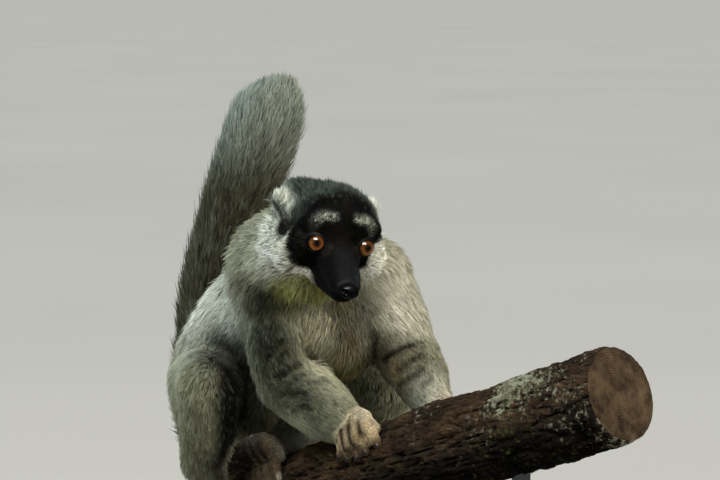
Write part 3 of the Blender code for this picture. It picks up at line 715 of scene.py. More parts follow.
# Creases that the bent arms fold into the coat: how deep, and a line of places in centimetres
CREASES = (
    (1.0, (-5.15, 3.56, 30.38), (-4.78, 3.18, 31.28), (-4.11, 2.60, 31.90)),
    (0.7, (-4.84, 2.73, 30.35), (-4.20, 2.25, 30.96)),
    (1.0, (-5.09, 2.47, 28.88), (-4.39, 1.67, 29.52), (-3.71, 1.35, 29.85)),
    (0.5, (-4.59, 0.95, 29.00), (-3.58, 0.21, 29.33)),
    (0.7, (-4.21, -0.44, 28.58), (-2.82, -1.03, 28.81)),
    (0.6, (-5.32, 1.73, 27.47), (-5.09, 0.48, 27.88), (-4.79, -0.54, 27.86)),
    (0.7, (-5.29, 0.50, 26.30), (-5.23, -0.24, 26.81), (-4.98, -1.11, 26.98)),
    (1.0, (3.27, -0.14, 32.06), (3.42, 0.0, 30.81), (3.75, 0.27, 29.59)),
    (1.2, (3.50, -0.90, 29.60), (3.62, -2.42, 30.63), (4.51, -3.33, 31.09)),
    (1.0, (3.05, -2.97, 29.04), (3.41, -3.85, 29.83), (4.42, -4.40, 30.40)),
    (0.9, (2.85, -4.28, 28.48), (3.29, -4.97, 29.08), (3.73, -5.19, 29.38)),
    (0.9, (2.96, -3.18, 27.80), (2.83, -4.09, 28.38)),
    (0.7, (3.04, -5.85, 28.29), (3.74, -6.04, 28.63)),
    (0.5, (3.71, -1.31, 31.56), (3.99, -1.71, 31.74)),
    (0.6, (8.6, 1.2, 31.6), (8.9, -1.2, 30.6)), (0.6, (8.0, -1.4, 29.3), (7.4, -3.4, 29.5)),
)
CREASE_WIDTH = 2.3 * MM
CREASE_DEPTH = 3.6 * MM
FOLD_WIDTH = 7.0 * MM


def creased(points, wobble, width=CREASE_WIDTH):
    """How deep in a crease of that width each point lies, from 0 to 1."""
    found = np.zeros(len(points))
    for depth, *line in CREASES:
        for start, end in zip(line, line[1:]):
            _, away = off_line(points, np.array(start) * CM, np.array(end) * CM)
            gap = np.linalg.norm(away, axis=1) + wobble
            found = np.maximum(found, depth * np.exp(-(gap / width) ** 2))
    return np.clip(found, 0, 1)


wobble = rough(points, 9 * MM, 3.0) * 1.2 * MM
on_arms = np.clip((is_kind["upper_arm"] + is_kind["forearm"]) * 1.5, 0, 1)
crease = creased(points, wobble) * on_arms
arm_fold = creased(points, wobble, FOLD_WIDTH) * on_arms
growth[:, 0] *= 1 - 0.62 * arm_fold
growth[:, 2] *= 1 + 0.7 * arm_fold

# The skin is drawn in by the height of the coat over it, which reaches the sculpted outline
outer = points.copy()
angle = np.radians(growth[:, 3])
stand_off = growth[:, 0] * (0.5 * np.sin(1.35 * angle) + 0.5 * np.sin(0.55 * angle))
fluffed = 1.0 - (0.15 * backward + 0.28 * near(places, *CROWN_TUFT)) * on_face
inset = fluffed * stand_off * MM + SEAM + CREASE_DEPTH * crease
# It lies deeper at the tail's tip, in the ears' slits, at the left cheek and behind the crown
inset += 9 * MM * tail_end_share + 3.5 * MM * slit
inset += 3.5 * MM * near(places, (4.4, -3.2, -1.2), (1.4, 2.0, 2.2)) * on_face
inset += 2.2 * MM * near(places, (-1.5, -5.8, 3.2), (2.4, 2.2, 1.4)) * on_face
inset = spread(inset[:, None], 6)
normals = unit(spread(skin_normals(points), 6))
points = rounded(points - normals * inset, 4, 1.0 - 0.8 * fine)

# Muzzle: a firm ridge down the middle, hollowed in front of each eye, with soft whisker beds
places = on_head(points)
mirrored = both_sides(places)
normals = skin_normals(points)
ridge = np.exp(-(mirrored[:, 0] / 0.55) ** 2) * ramp(places[:, 1], 0.2, 1.2)
ridge *= ramp(places[:, 2], -2.2, -1.2)
hollow = near(mirrored, (1.25, 1.0, -1.0), (0.6, 0.9, 0.7))
whisker_bed = near(mirrored, (0.95, 2.7, -2.05), (0.5, 0.9, 0.5))
chin = near(mirrored, (0.0, 2.2, -3.2), (0.9, 1.2, 0.6))
brow_bone = near(mirrored, (1.9, 0.0, 1.15), (1.2, 0.8, 0.45))
points = points + normals * (MM * (0.9 * ridge - 1.4 * hollow + 0.8 * whisker_bed + 1.6 * chin
                                   + 0.9 * brow_bone))[:, None]

# Eyelids: two black rims that lap over the eyeball, with a small pointed inner corner
LIDS_OUT = math.radians(21)
LIDS_UP = math.radians(3)
GAZE_OUT = math.radians(9)
GAZE_UP = math.radians(11)
LID_OPENING = math.radians(63)
LID_EDGE = 1.0 * MM
LID_SUNK = 1.6 * MM
LID_FOLD = 0.6 * MM
LID_REACH = 9 * MM
places = on_head(points)
gaze = {}
lid_skin = np.zeros(count)
for side, sign in (("right", -1), ("left", 1)):
    look = np.array([math.sin(LIDS_OUT) * sign, math.cos(LIDS_OUT), math.sin(LIDS_UP)])
    look /= np.linalg.norm(look)
    stare = np.array([math.sin(GAZE_OUT) * sign, math.cos(GAZE_OUT), math.sin(GAZE_UP)])
    gaze[side] = stare @ HEAD_AXES
    centre = on_head(np.array(eyes[side])[None])[0]
    arm = places - centre
    far = np.linalg.norm(arm, axis=1) * CM
    angle = np.arccos(np.clip(arm @ look / np.maximum(far / CM, 1e-6), -1, 1))
    across = np.cross(look, (0, 0, 1)) * sign
    across /= np.linalg.norm(across)
    rise = np.cross(np.cross(look, (0, 0, 1)), look)
    turn = np.arctan2(arm @ rise, arm @ across)     # 0 points outward, half a turn to the nose
    corner = np.exp(-(((turn - np.radians(-152) + np.pi) % math.tau - np.pi) / 0.3) ** 2)
    opening = LID_OPENING - np.radians(4) * np.sin(turn) ** 2 + np.radians(13) * corner
    close = far < EYE_RADIUS + LID_REACH
    lid_rim = np.exp(-((angle - opening - 0.1) / 0.1) ** 2)
    lid_height = EYE_RADIUS + LID_EDGE * (0.15 + 0.85 * lid_rim)
    hidden = EYE_RADIUS - LID_SUNK
    lid = hidden + (lid_height - hidden) * ramp(angle, opening - 0.05, opening + 0.02)
    blend = ramp(angle, opening + 0.16, opening + 0.62)
    lid_fold = np.exp(-((angle - opening - 0.34) / 0.07) ** 2) * np.clip(np.sin(turn) + 0.3, 0, 1)
    wanted = lid + (np.maximum(far, lid_height) - lid) * blend - LID_FOLD * lid_fold
    amount = np.where(close & (angle < 2.2), 1.0, 0.0)
    factor = 1 + (wanted / np.maximum(far, 1e-6) - 1) * amount
    places = centre + arm * factor[:, None]
    lid_skin = np.maximum(lid_skin, (1 - ramp(angle, opening + 0.14, opening + 0.3)) * close)

# Nose and mouth: the skin is set back for the bare nose pad, and the closed mouth is a fine
# line from under the nose back along each side of the muzzle
NOSE_PLACE = on_head(np.array(middle("nose"))[None])[0]
MOUTH = ((0.0, 3.85, -2.75), (0.7, 3.3, -2.75), (1.25, 2.2, -2.6), (1.65, 0.9, -2.38),
         (1.95, -0.1, -2.1))
MOUTH_WIDTH = 0.1
MOUTH_DEPTH = 1.2 * MM
PAD_BED = 0.86
arm = places - NOSE_PLACE
far = np.linalg.norm(arm / np.array((0.86, 0.8, 0.72)), axis=1)
behind_pad = (far < 1.25) & (arm[:, 1] > -0.6)
bedded = NOSE_PLACE + arm * np.minimum(1, PAD_BED / np.maximum(far, 0.3))[:, None]
places = np.where(behind_pad[:, None], bedded, places)
mirrored = both_sides(places)
mouth = np.zeros(count)
for start, end in zip(MOUTH, MOUTH[1:]):
    _, away = off_line(mirrored, start, end)
    mouth = np.maximum(mouth, np.exp(-(np.linalg.norm(away, axis=1) / MOUTH_WIDTH) ** 2))
points = from_head(places)
points = points - skin_normals(points) * (MOUTH_DEPTH * mouth)[:, None]
skin_directions = skin_normals(points)


# The markings, shared by the skin and the coat, with painted light and shade among them. Each is a
# place on the body and a tint.
def tinted(colours, code, amount):
    """The colours turned towards the tint by that share at each point."""
    return colours + (np.array(linear(code)) - colours) * np.clip(amount, 0, 1)[:, None]


world = (outer + lie * (growth[:, 0] * 0.5 * MM)[:, None]) / CM    # where the hair lies
places = on_head(outer)
beside = abs(places[:, 0])
every = np.ones(count)
# Many of these are painted light and shade, not the coat's own colour. The dark patches on the
# right arm and neck, under the chin, on the belly, in the flank's fold and on the inner legs are
# painted shade. The palest ones on the back, the flank, the chest and the left upper arm are partly
# painted light where the light falls.
PATCHES_WITH_PAINTED_LIGHT = (  # place and reach in centimetres, tint, strength
    ((-1.9, 15.3, 32.7), 4.0, "#d3d6ca", 0.9), ((-3.3, 10.6, 32.9), 3.0, "#ccd4c6", 0.95),
    ((-5.0, 5.9, 38.8), 3.2, "#979a86", 0.7), ((-4.3, 13.8, 30.2), 2.6, "#a5a590", 0.6),
    ((-7.4, 7.8, 31.1), 1.8, "#55574a", 0.8), ((-1.2, 10.3, 25.6), 3.6, "#0c0b08", 0.98),
    ((-3.7, 11.7, 30.0), 1.9, "#2f3026", 0.95), ((-5.9, 9.2, 29.7), 1.5, "#3b3c31", 0.85),
    ((-4.6, 4.6, 35.2), 2.2, "#22241b", 0.95), ((-4.1, 4.3, 34.0), 2.2, "#24261c", 0.95),
    ((-4.7, 3.9, 32.1), 2.4, "#202218", 0.97), ((-5.0, 3.2, 30.6), 2.3, "#1e2017", 0.95),
    ((-4.8, 1.6, 29.1), 2.7, "#171911", 0.97), ((-4.9, -0.4, 27.4), 2.7, "#1a1c13", 0.95),
    ((-4.7, 0.3, 25.0), 1.5, "#a9b092", 0.85), ((-2.6, -1.6, 28.6), 1.7, "#b3b39a", 0.8),
    ((-2.5, 0.2, 29.5), 1.5, "#c3c2a4", 0.8), ((-0.2, 2.4, 31.9), 2.3, "#f4efcf", 1.0),
    ((0.9, 1.7, 29.5), 1.3, "#b5ad84", 0.7), ((1.9, 1.0, 31.6), 1.8, "#3f3018", 0.95),
    ((1.7, 1.1, 33.4), 1.6, "#3c331c", 0.9), ((2.9, 2.0, 28.0), 2.0, "#83733f", 0.75),
    ((4.9, -1.8, 33.4), 2.9, "#d6d3c2", 0.95), ((3.4, -0.9, 30.2), 1.5, "#3a2f1e", 0.85),
    ((3.1, -2.6, 28.6), 1.6, "#8a7752", 0.8), ((3.6, -3.6, 30.6), 1.2, "#a39372", 0.6),
    ((5.2, -4.6, 30.0), 1.9, "#8f8d78", 0.85), ((3.9, -6.3, 28.4), 1.2, "#b5b5a0", 0.8),
    ((-5.1, 4.8, 37.3), 1.3, "#a9ad94", 0.8),
    ((-4.3, 1.3, 36.6), 1.4, "#b3b497", 0.8), ((-4.0, 2.0, 35.6), 1.5, "#9a9d52", 0.8),
    ((-2.1, 0.7, 35.3), 1.4, "#7c7b35", 0.85), ((0.6, 1.3, 34.6), 1.4, "#4b4420", 0.85),
    ((5.6, 0.0, 37.5), 2.0, "#bebca9", 0.8), ((5.6, -1.0, 35.4), 2.0, "#c6c3b3", 0.8),
    ((-4.6, 9.8, 21.0), 1.9, "#0c0b09", 0.95),
)
coat_colour = tinted(np.zeros((count, 3)), "#8b8c76", every)
coat_colour = tinted(coat_colour, "#76785f", 0.5 + 0.6 * rough(outer, 16 * MM))
for place, reach, code, strength in PATCHES_WITH_PAINTED_LIGHT:
    coat_colour = tinted(coat_colour, code, strength * near(world, place, (reach, reach, reach)))
legs = np.clip(is_kind["thigh"] + is_kind["shin"] + is_kind["foot"], 0, 1)
# painted shade: the fronts of the legs, under the body, are painted near black
leg_front_shade = ramp((world[:, 0] - world[:, 1]) * 0.707, -11.0, -9.6) * (world[:, 0] < 0.5)
leg_front_shade += 0.35 * ramp(world[:, 0] - 2.0, 4.5, 2.5) * (world[:, 0] >= 0.5)
on_tail = is_kind["tail"]
tip_share = ramp(world[:, 2], 41, 50)
paw_amount = np.clip(1.5 * (is_kind["hand"] + is_kind["foot"]), 0, 1)
for code, amount in (
        ("#090907", 0.98 * legs * leg_front_shade),
        ("#403f32", on_tail * 1.2),
        ("#7c857b", 0.9 * on_tail * tip_share),
        ("#dcc49a", np.clip(1.5 * is_kind["hand"], 0, 1)),
        ("#594d39", is_kind["foot"]),
        # painted shade: the feet turn nearly black further back, in the shade under the body
        ("#0b0a08", is_kind["foot"] * ramp(world[:, 1], 6.2, 7.6)),
        ("#e2e4d3", 0.8 * near(world, (3.6, -6.8, 27.8), (1.6, 1.6, 1.6))),
        ("#c2bda8", 0.6 * paw_amount * ramp(digit_share, 0.3, 0.0)),
        ("#5c4a33", paw_amount * ramp(digit_share, 0.25, 0.95)),
        # painted shade in the gaps between the digits
        ("#0d0906", 1.15 * paw_amount * gap_dark)):
    coat_colour = tinted(coat_colour, code, amount)

# The head's markings: a black mask, pale brows and cheeks, and a black stripe up the crown, with a
# painted sheen on the muzzle and painted shade under the cheeks
head_colour = tinted(np.zeros((count, 3)), "#262d28", every)
MASK_HEIGHTS = (-3.6, -2.9, -2.5, -2.15, -1.6, -0.7, 0.5, 1.2, 2.4)
MASK_RIGHT = (1.4, 1.65, 1.75, 2.9, 3.6, 3.9, 4.0, 4.1, 3.6)
MASK_LEFT = (1.1, 1.4, 1.55, 1.9, 2.5, 3.1, 3.5, 3.7, 3.4)
right_width = np.interp(places[:, 2], MASK_HEIGHTS, MASK_RIGHT)
left_width = np.interp(places[:, 2], MASK_HEIGHTS, MASK_LEFT)
half_width = np.where(places[:, 0] > 0, left_width, right_width)
edge = beside - half_width + 0.22 * rough(outer, 4 * MM, 5.0)
under_eye = near(both_sides(places)[:, ::2], (3.3, -2.3), (0.3, 0.8))
under_eye *= (places[:, 1] > -2.2) & (places[:, 0] < 0)
ahead, height = places[:, 1], places[:, 2]
# painted highlight: the muzzle's ridge is painted smoky grey, and the upper part of its left side a
# paler cool grey, where light would shine on it
ridge_sheen = ramp(beside, 1.1, 0.4) * ramp(ahead, 0.4, 1.4)
ridge_sheen *= ramp(height + 0.3 * ahead, -1.9, -1.2)
stripe = ramp(beside, 0.6, 0.15) * ramp(ahead, -4.2, -1.8) * ramp(height, -0.5, 0.6)
for code, amount in (
        ("#e2e4d2", ramp(edge, -0.1, 0.35) * ramp(height, 1.6, 0.4)),
        ("#a8ab9c", ramp(ahead, -4.2, -6.5) * ramp(height, 2.8, 0.5)),
        ("#a3a69b", near_ear * ramp(ahead, -2.6, -3.6)),
        # painted shade under the cheeks, at the lower back of the head
        ("#3e4034", ramp(height, -3.9, -4.9) * ramp(ahead, -1.2, -2.8)),
        ("#aeab52", ramp(height, -3.0, -4.0) * ramp(beside, 3.4, 2.0)),
        ("#040404", ramp(edge, 0.25, -0.15) * ramp(ahead, -2.8, -1.2)),
        ("#25241c", 0.85 * under_eye),
        ("#040404", ramp(ahead, 0.2, 1.3)),
        ("#161b1c", 0.75 * ridge_sheen),
        ("#2d3638", 0.85 * near(places, (0.8, 2.2, -1.6), (0.4, 1.3, 0.6))),
        ("#070707", stripe)):
    head_colour = tinted(head_colour, code, amount)
coat_colour += (head_colour - coat_colour) * on_face[:, None]
coat_colour = tinted(coat_colour, "#c6ccbe", is_kind["ear"] + 0.8 * rim)
# painted shade in the ears' slits
coat_colour = tinted(coat_colour, "#0d0c09", 1.5 * slit)
# painted light and shade of the arms' creases: the rolls of fur between them are lightened where
# they catch the light, and the creases are darkened as painted shade
coat_colour = tinted(coat_colour, "#62644f", 0.5 * np.clip(arm_fold - 1.5 * crease, 0, 1))
coat_colour *= (1 - 0.6 * crease)[:, None]
arch = height - 2.22 + 0.24 * np.maximum(beside - 1.2, 0) ** 2 + 0.12 * rough(outer, 5 * MM, 11.0)
brow_pale = np.exp(-(np.abs(arch / 0.36)) ** 2.5)
brow_pale *= ramp(beside, 0.3, 0.95) * ramp(beside, 3.3, 1.4)
brow_pale *= ramp(ahead, -2.1, -1.0) * on_face
frost = np.clip(0.25 * (1 - on_face) + 0.6 * backward * on_face + 0.35 * on_tail * tip_share, 0, 1)

round_nose = near(mirrored, (0, 3.9, -2.2), (0.9, 0.7, 0.7))
# the ears' slits count as bare, so the skin there is near black: painted shade
bare = np.clip(lid_skin + round_nose + 0.8 * mouth + slit, 0, 1)
under = coat_colour * 0.5
under = tinted(under, "#0d0c0c", bare)
layer = skin.data.color_attributes.new("hide", "FLOAT_COLOR", "POINT")
layer.data.foreach_set("color", np.concatenate([under, np.ones((count, 1))], axis=1)
                       .astype(np.float32).ravel())
layer = skin.data.attributes.new("bare", "FLOAT", "POINT")
layer.data.foreach_set("value", bare.astype(np.float32))

# Black bare skin round the eyes and mouth, a little greasy and finely pored, and elsewhere the
# short under-wool, which is matt and darker than the tips of the coat over it
hide, tree, shader = new_material("hide", Specular_IOR_Level=0.22)
place = add(tree, "TexCoord").outputs["Object"]
tint = add(tree, "Attribute", attribute_name="hide").outputs["Color"]
bare_skin = add(tree, "Attribute", attribute_name="bare").outputs["Fac"]
SHORT_HAIR = 0.5 * MM
PORE = 0.8 * MM
nap = add(tree, "TexNoise", {"Vector": place, "Scale": 1 / SHORT_HAIR, "Detail": 3.0})
pores = add(tree, "TexVoronoi", {"Vector": place, "Scale": 1 / PORE})
speckle = add(tree, "MapRange", {"Value": nap.outputs["Fac"], "From Min": 0.3, "From Max": 0.7,
                                 "To Min": 0.65, "To Max": 1.3})
colour = add(tree, "Mix", {MIX_SHARE: 1.0, MIX_UNDER: tint, MIX_OVER: speckle.outputs["Result"]},
             **MULTIPLIED)
gloss = add(tree, "MapRange", {"Value": bare_skin, "To Min": 0.85, "To Max": 0.4})
grain = add(tree, "Mix", {"Factor": bare_skin, "A": nap.outputs["Fac"],
                          "B": pores.outputs["Distance"]}, data_type="FLOAT")
bump = add(tree, "Bump", {"Height": grain.outputs["Result"], "Strength": 0.5,
                          "Distance": 0.3 * MM})
wire(tree, shader, Base_Color=colour.outputs[MIXED], Roughness=gloss.outputs["Result"],
     Normal=bump.outputs["Normal"])
give(skin, hide)
skin.data.shade_smooth()
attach(skin, "root")
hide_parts(*[name for name in FLESH if name != "nose"])

# Coat: the woolly fur, as a quarter of a million fine locks rooted in the skin. Each is a bent
# three-sided sliver, widest below its middle, and neighbouring tips draw together as wool does.
LOCK_FACES = np.array([(2, 3, 4), (3, 1, 4), (1, 2, 4), (3, 2, 0), (1, 3, 0), (2, 1, 0)])
LOCK_POINTS = 5
WIDEST = 0.42
ROOT_SUNK = 0.6 * MM
MOST_LOCKS = 33000
COAT_DENSITY = 0.975              # of what the table of growth gives
STRAY = 0.12                      # how far a lock's lie wanders
LEADERS = 8                       # one lock in this many draws its neighbours' tips together
ROOT_SHADE = 0.3
MIDDLE_SHADE = 0.85
HOLLOW_SHADE = 0.97
LOCK_ON_MAP = ((0.5, 0), (0, 0.4), (1, 0.4), (0.5, 0.5), (0.5, 1))
LOCK_MAP_SIZE = 0.003
skin.data.calc_loop_triangles()
triangle_of = np.empty(len(skin.data.loop_triangles) * 3, np.int32)
skin.data.loop_triangles.foreach_get("vertices", triangle_of)
triangle_of = triangle_of.reshape(-1, 3)
corners = points[triangle_of]
areas = np.linalg.norm(np.cross(corners[:, 1] - corners[:, 0], corners[:, 2] - corners[:, 0]),
                       axis=1) / 2
growth[:, 2] *= 1 - np.clip(lid_skin * 3, 0, 1)
growth[:, 2] *= 1 - np.clip(1.3 * near(mirrored, (0, 4.1, -2.2), (0.95, 0.6, 0.75)), 0, 1)
waves = rough(points, 8 * MM, 9.0)

# Wool hair: matt, with next to no shine, and a little lighter or darker from strand to strand
STRAND = 0.4 * MM
fur, tree, shader = new_material("woolly_fur", Roughness=0.8, Specular_IOR_Level=0.03,
                                 Sheen_Weight=0.03, Sheen_Roughness=0.5)
tint = add(tree, "Attribute", attribute_name="hair").outputs["Color"]
place = add(tree, "TexCoord").outputs["Object"]
strands = add(tree, "TexNoise", {"Vector": place, "Scale": 1 / STRAND, "Detail": 2.0})
speckle = add(tree, "MapRange", {"Value": strands.outputs["Fac"], "From Min": 0.3,
                                 "From Max": 0.7, "To Min": 0.85, "To Max": 1.15})
colour = add(tree, "Mix", {MIX_SHARE: 1.0, MIX_UNDER: tint, MIX_OVER: speckle.outputs["Result"]},
             **MULTIPLIED)
wire(tree, shader, Base_Color=colour.outputs[MIXED])


def unrolled(roots, owner):
    """Where each root lies on the skin, each part rolled out flat round its bone, side by side."""
    spots = np.zeros((len(roots), 2))
    owners = np.unique(owner)
    for place, part in enumerate(owners):
        start, end = bones[FLESH[part]]
        axis = (Vector(end) - Vector(start)).normalized()
        side = axis.orthogonal().normalized()
        across = axis.cross(side)
        mine = owner == part
        arms = roots[mine] - np.array(start)
        turn = np.arctan2(arms @ np.array(across), arms @ np.array(side)) / math.tau + 0.5
        run = arms @ np.array(axis)
        spots[mine, 0] = (place + turn) / len(owners)
        spots[mine, 1] = (run - run.min()) / max(run.max() - run.min(), 1e-9)
    return spots


def hollows(points):
    """How deep in the slit of an ear or in a crease of an arm each point of a lock lies, for its
    painted shade.
    """
    places = on_head(points)
    share, away = off_line(places[:, 1:], EAR_SLIT[0][1:], EAR_SLIT[1][1:])
    gap = np.linalg.norm(away, axis=1)
    beside = ramp(abs(places[:, 0]), 3.4, 3.9) * ramp(abs(places[:, 0]), 7.0, 6.0)
    width = 0.26 + 0.55 * share * (1 - share) * 2
    wave = 0.8 * MM * np.sin(points @ np.array((900.0, 1100.0, 1000.0)))
    return np.clip(1.3 * np.exp(-(gap / width) ** 4) * beside + creased(points, wave), 0, 1)


def coat_piece(name, parts, seed, tone_spread, chosen=None):
    """The locks of these parts of the body as one mesh."""
    rng = np.random.default_rng(seed)
    in_parts = np.isin(part_of, [FLESH.index(part) for part in parts])
    if chosen is not None:
        in_parts &= chosen
    wanted = COAT_DENSITY * areas / CM ** 2 * growth[triangle_of, 2].mean(axis=1)
    wanted = wanted * in_parts[triangle_of[:, 0]]
    total = min(int(wanted.sum()), MOST_LOCKS)
    steps = (np.arange(total) + rng.random(total)) / total * wanted.sum()
    face = np.minimum(np.searchsorted(np.cumsum(wanted), steps), len(wanted) - 1)
    a, b = rng.random((2, total))
    flip = a + b > 1
    a, b = np.where(flip, 1 - a, a), np.where(flip, 1 - b, b)
    weights = np.stack([1 - a - b, a, b], axis=1)[:, :, None]

    def at_roots(values):
        return (values[triangle_of[face]] * weights).sum(axis=1)

    roots, out, along = at_roots(points), unit(at_roots(skin_directions)), at_roots(lie)
    length, breadth, _, lift = at_roots(growth).T
    along = along + rng.normal(0, STRAY, along.shape)
    along = unit(along - out * (along * out).sum(axis=1)[:, None])
    side = np.cross(out, along)
    wave = at_roots(waves[:, None])[:, 0]
    length = length * MM * rng.lognormal(-0.02, 0.15, total) * (1 + 0.12 * wave)
    lift = np.radians(lift * rng.lognormal(0, 0.3, total))
    low, high = lift * 1.35, lift * 0.55
    mid = roots + length[:, None] * WIDEST * (along * np.cos(low)[:, None]
                                              + out * np.sin(low)[:, None])
    tip = mid + length[:, None] * (1 - WIDEST) * (along * np.cos(high)[:, None]
                                                  + out * np.sin(high)[:, None])
    mid += side * (rng.normal(0, 0.05, total) * length)[:, None]
    tip += side * (rng.normal(0, 0.06, total) * length)[:, None]
    leaders = rng.choice(total, max(total // LEADERS, 1), replace=False)
    tree = KDTree(len(leaders))
    for index, leader in enumerate(leaders):
        tree.insert(roots[leader], index)
    tree.balance()
    leader_of = leaders[[tree.find(root)[1] for root in roots]]
    tip += (tip[leader_of] - tip) * (0.12 + 0.45 * rng.random(total))[:, None]
    half = (breadth * MM * 0.5 * rng.lognormal(0, 0.15, total))[:, None]
    verts = np.empty((total, LOCK_POINTS, 3))
    verts[:, 0] = roots - out * ROOT_SUNK
    verts[:, 1] = mid - side * half - out * half * 0.3
    verts[:, 2] = mid + side * half - out * half * 0.3
    verts[:, 3] = mid + out * half * 0.8
    verts[:, 4] = tip
    mesh = bpy.data.meshes.new(name)
    mesh.vertices.add(total * LOCK_POINTS)
    mesh.vertices.foreach_set("co", verts.astype(np.float32).ravel())
    faces = (LOCK_FACES[None] + (np.arange(total) * LOCK_POINTS)[:, None, None]).reshape(-1, 3)
    mesh.loops.add(faces.size)
    mesh.loops.foreach_set("vertex_index", faces.astype(np.int32).ravel())
    mesh.polygons.add(len(faces))
    mesh.polygons.foreach_set("loop_start", np.arange(0, faces.size, 3, dtype=np.int32))
    mesh.update(calc_edges=True)
    shade = at_roots(coat_colour)
    pale = np.clip(at_roots(brow_pale[:, None])[:, 0] * (0.35 + 1.1 * rng.random(total)), 0, 1)
    shade += (np.array(linear("#afb6a7")) - shade) * (pale ** 1.6)[:, None]
    tone = rng.lognormal(0, tone_spread, total)
    tone *= np.clip(1 + 0.9 * tone_spread * rng.normal(size=total), 0.4, 1.8)[leader_of]
    hair = np.repeat((shade * tone[:, None])[:, None], LOCK_POINTS, axis=1)
    hair[:, 0] *= ROOT_SHADE
    hair[:, 1:4] *= MIDDLE_SHADE
    frosted = (rng.random(total)[leader_of] < at_roots(frost[:, None])[:, 0])[:, None] * 0.8
    hair[:, 4] += (shade * 1.2 + np.array(linear("#626c63")) * 0.8 - hair[:, 4]) * frosted
    # painted shade: lock points in the ears' slits and the arms' creases are darkened
    hollow = hollows(verts.reshape(-1, 3)).reshape(total, LOCK_POINTS, 1)
    hair *= 1 - HOLLOW_SHADE * hollow
    rgba = np.concatenate([np.clip(hair, 0, 1), np.ones((total, LOCK_POINTS, 1))], axis=2)
    layer = mesh.color_attributes.new("hair", "FLOAT_COLOR", "POINT")
    layer.data.foreach_set("color", rgba.astype(np.float32).ravel())
    owner = part_of[triangle_of[face, 0]]
    spots = 0.001 + unrolled(roots, owner) * 0.995
    bake = (spots[:, None] + np.array(LOCK_ON_MAP)[None] * LOCK_MAP_SIZE).reshape(-1, 2)
    uv = mesh.uv_layers.new(name="OFBake")
    uv.data.foreach_set("uv", bake[faces.ravel()].astype(np.float32).ravel())
    mesh.shade_smooth()
    own = np.stack([out, -side - out * 0.4, side - out * 0.4, out, out], axis=1)
    softened = own * 0.45 + (out * 0.9 + along * 0.12)[:, None]
    softened = unit(softened.reshape(-1, 3))
    mesh.normals_split_custom_set_from_vertices(softened.astype(np.float32))
    piece = put(name, mesh)
    give(piece, fur)
    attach(piece, "root")


face_front = on_head(points)[:, 1] > -2.0
coat_piece("coat_face", ["head", "nose"], 1, 0.45, face_front)
coat_piece("coat_crown", ["head"], 2, 0.4, ~face_front)
coat_piece("coat_ears", ["ear_right", "ear_left"], 3, 0.3)
for seed, (name, parts, tones) in enumerate((
        ("neck", ["neck"], 0.24), ("chest", ["chest"], 0.17), ("back", ["loin", "rump"], 0.24),
        ("tail_lower", ["tail_1", "tail_2"], 0.2), ("tail_upper", ["tail_3", "tail_4"], 0.2),
        ("hands", ["hand_right", "hand_left"], 0.15),
        ("feet", ["foot_right", "foot_left"], 0.15)), start=4):
    coat_piece("coat_" + name, parts, seed, tones)
for index, side in enumerate(("right", "left")):
    coat_piece(f"coat_arm_{side}", [f"upper_arm_{side}", f"forearm_{side}"], 11 + index, 0.16)
    coat_piece(f"coat_leg_{side}", [f"thigh_{side}", f"shin_{side}"], 13 + index, 0.18)

# Eyes: glass eyes as a taxidermist sets them, blown with a clear bulging front over a painted
# orange-brown iris with fine dark spokes, a dark ring at its edge and a small round pupil.
CORNEA_RISE = 0.7 * MM
CORNEA_EDGE = math.radians(54)
EYE_SIDES = (64, 48)
# Clear blown glass with a hard polish over a painted iris: one sharp highlight. The iris is
# darkened towards the top with painted shade, where the brow shades it
eye_glass, tree, shader = new_material("glass_eye", Roughness=0.3, Specular_IOR_Level=0.0,
                                       Coat_Weight=1.0, Coat_Roughness=0.02, Coat_IOR=1.65)
spokes_place = add(tree, "Attribute", attribute_name="spokes").outputs["Vector"]
off_axis = add(tree, "Attribute", attribute_name="off_axis").outputs["Fac"]
spokes = add(tree, "TexNoise", {"Vector": spokes_place, "Scale": 3.0, "Detail": 4.0})
wander = add(tree, "MapRange", {"Value": spokes.outputs["Fac"], "To Min": -0.03, "To Max": 0.03})
ring = add(tree, "Math", {0: off_axis, 1: wander.outputs["Result"]}, operation="ADD")
iris = add(tree, "ValToRGB", {"Fac": ring.outputs["Value"]},
           stops=((0.0, "#010101"), (0.12, "#020202"), (0.15, "#2c1708"), (0.22, "#5c3413"),
                  (0.4, "#8a5624"), (0.48, "#663c16"), (0.55, "#1c0f07"), (0.6, "#060404")))
fleck = add(tree, "MapRange", {"Value": spokes.outputs["Fac"], "From Min": 0.3, "From Max": 0.7,
                               "To Min": 0.7, "To Max": 1.25})
flecked = add(tree, "Mix", {MIX_SHARE: 1.0, MIX_UNDER: iris.outputs["Color"],
                            MIX_OVER: fleck.outputs["Result"]}, **MULTIPLIED)
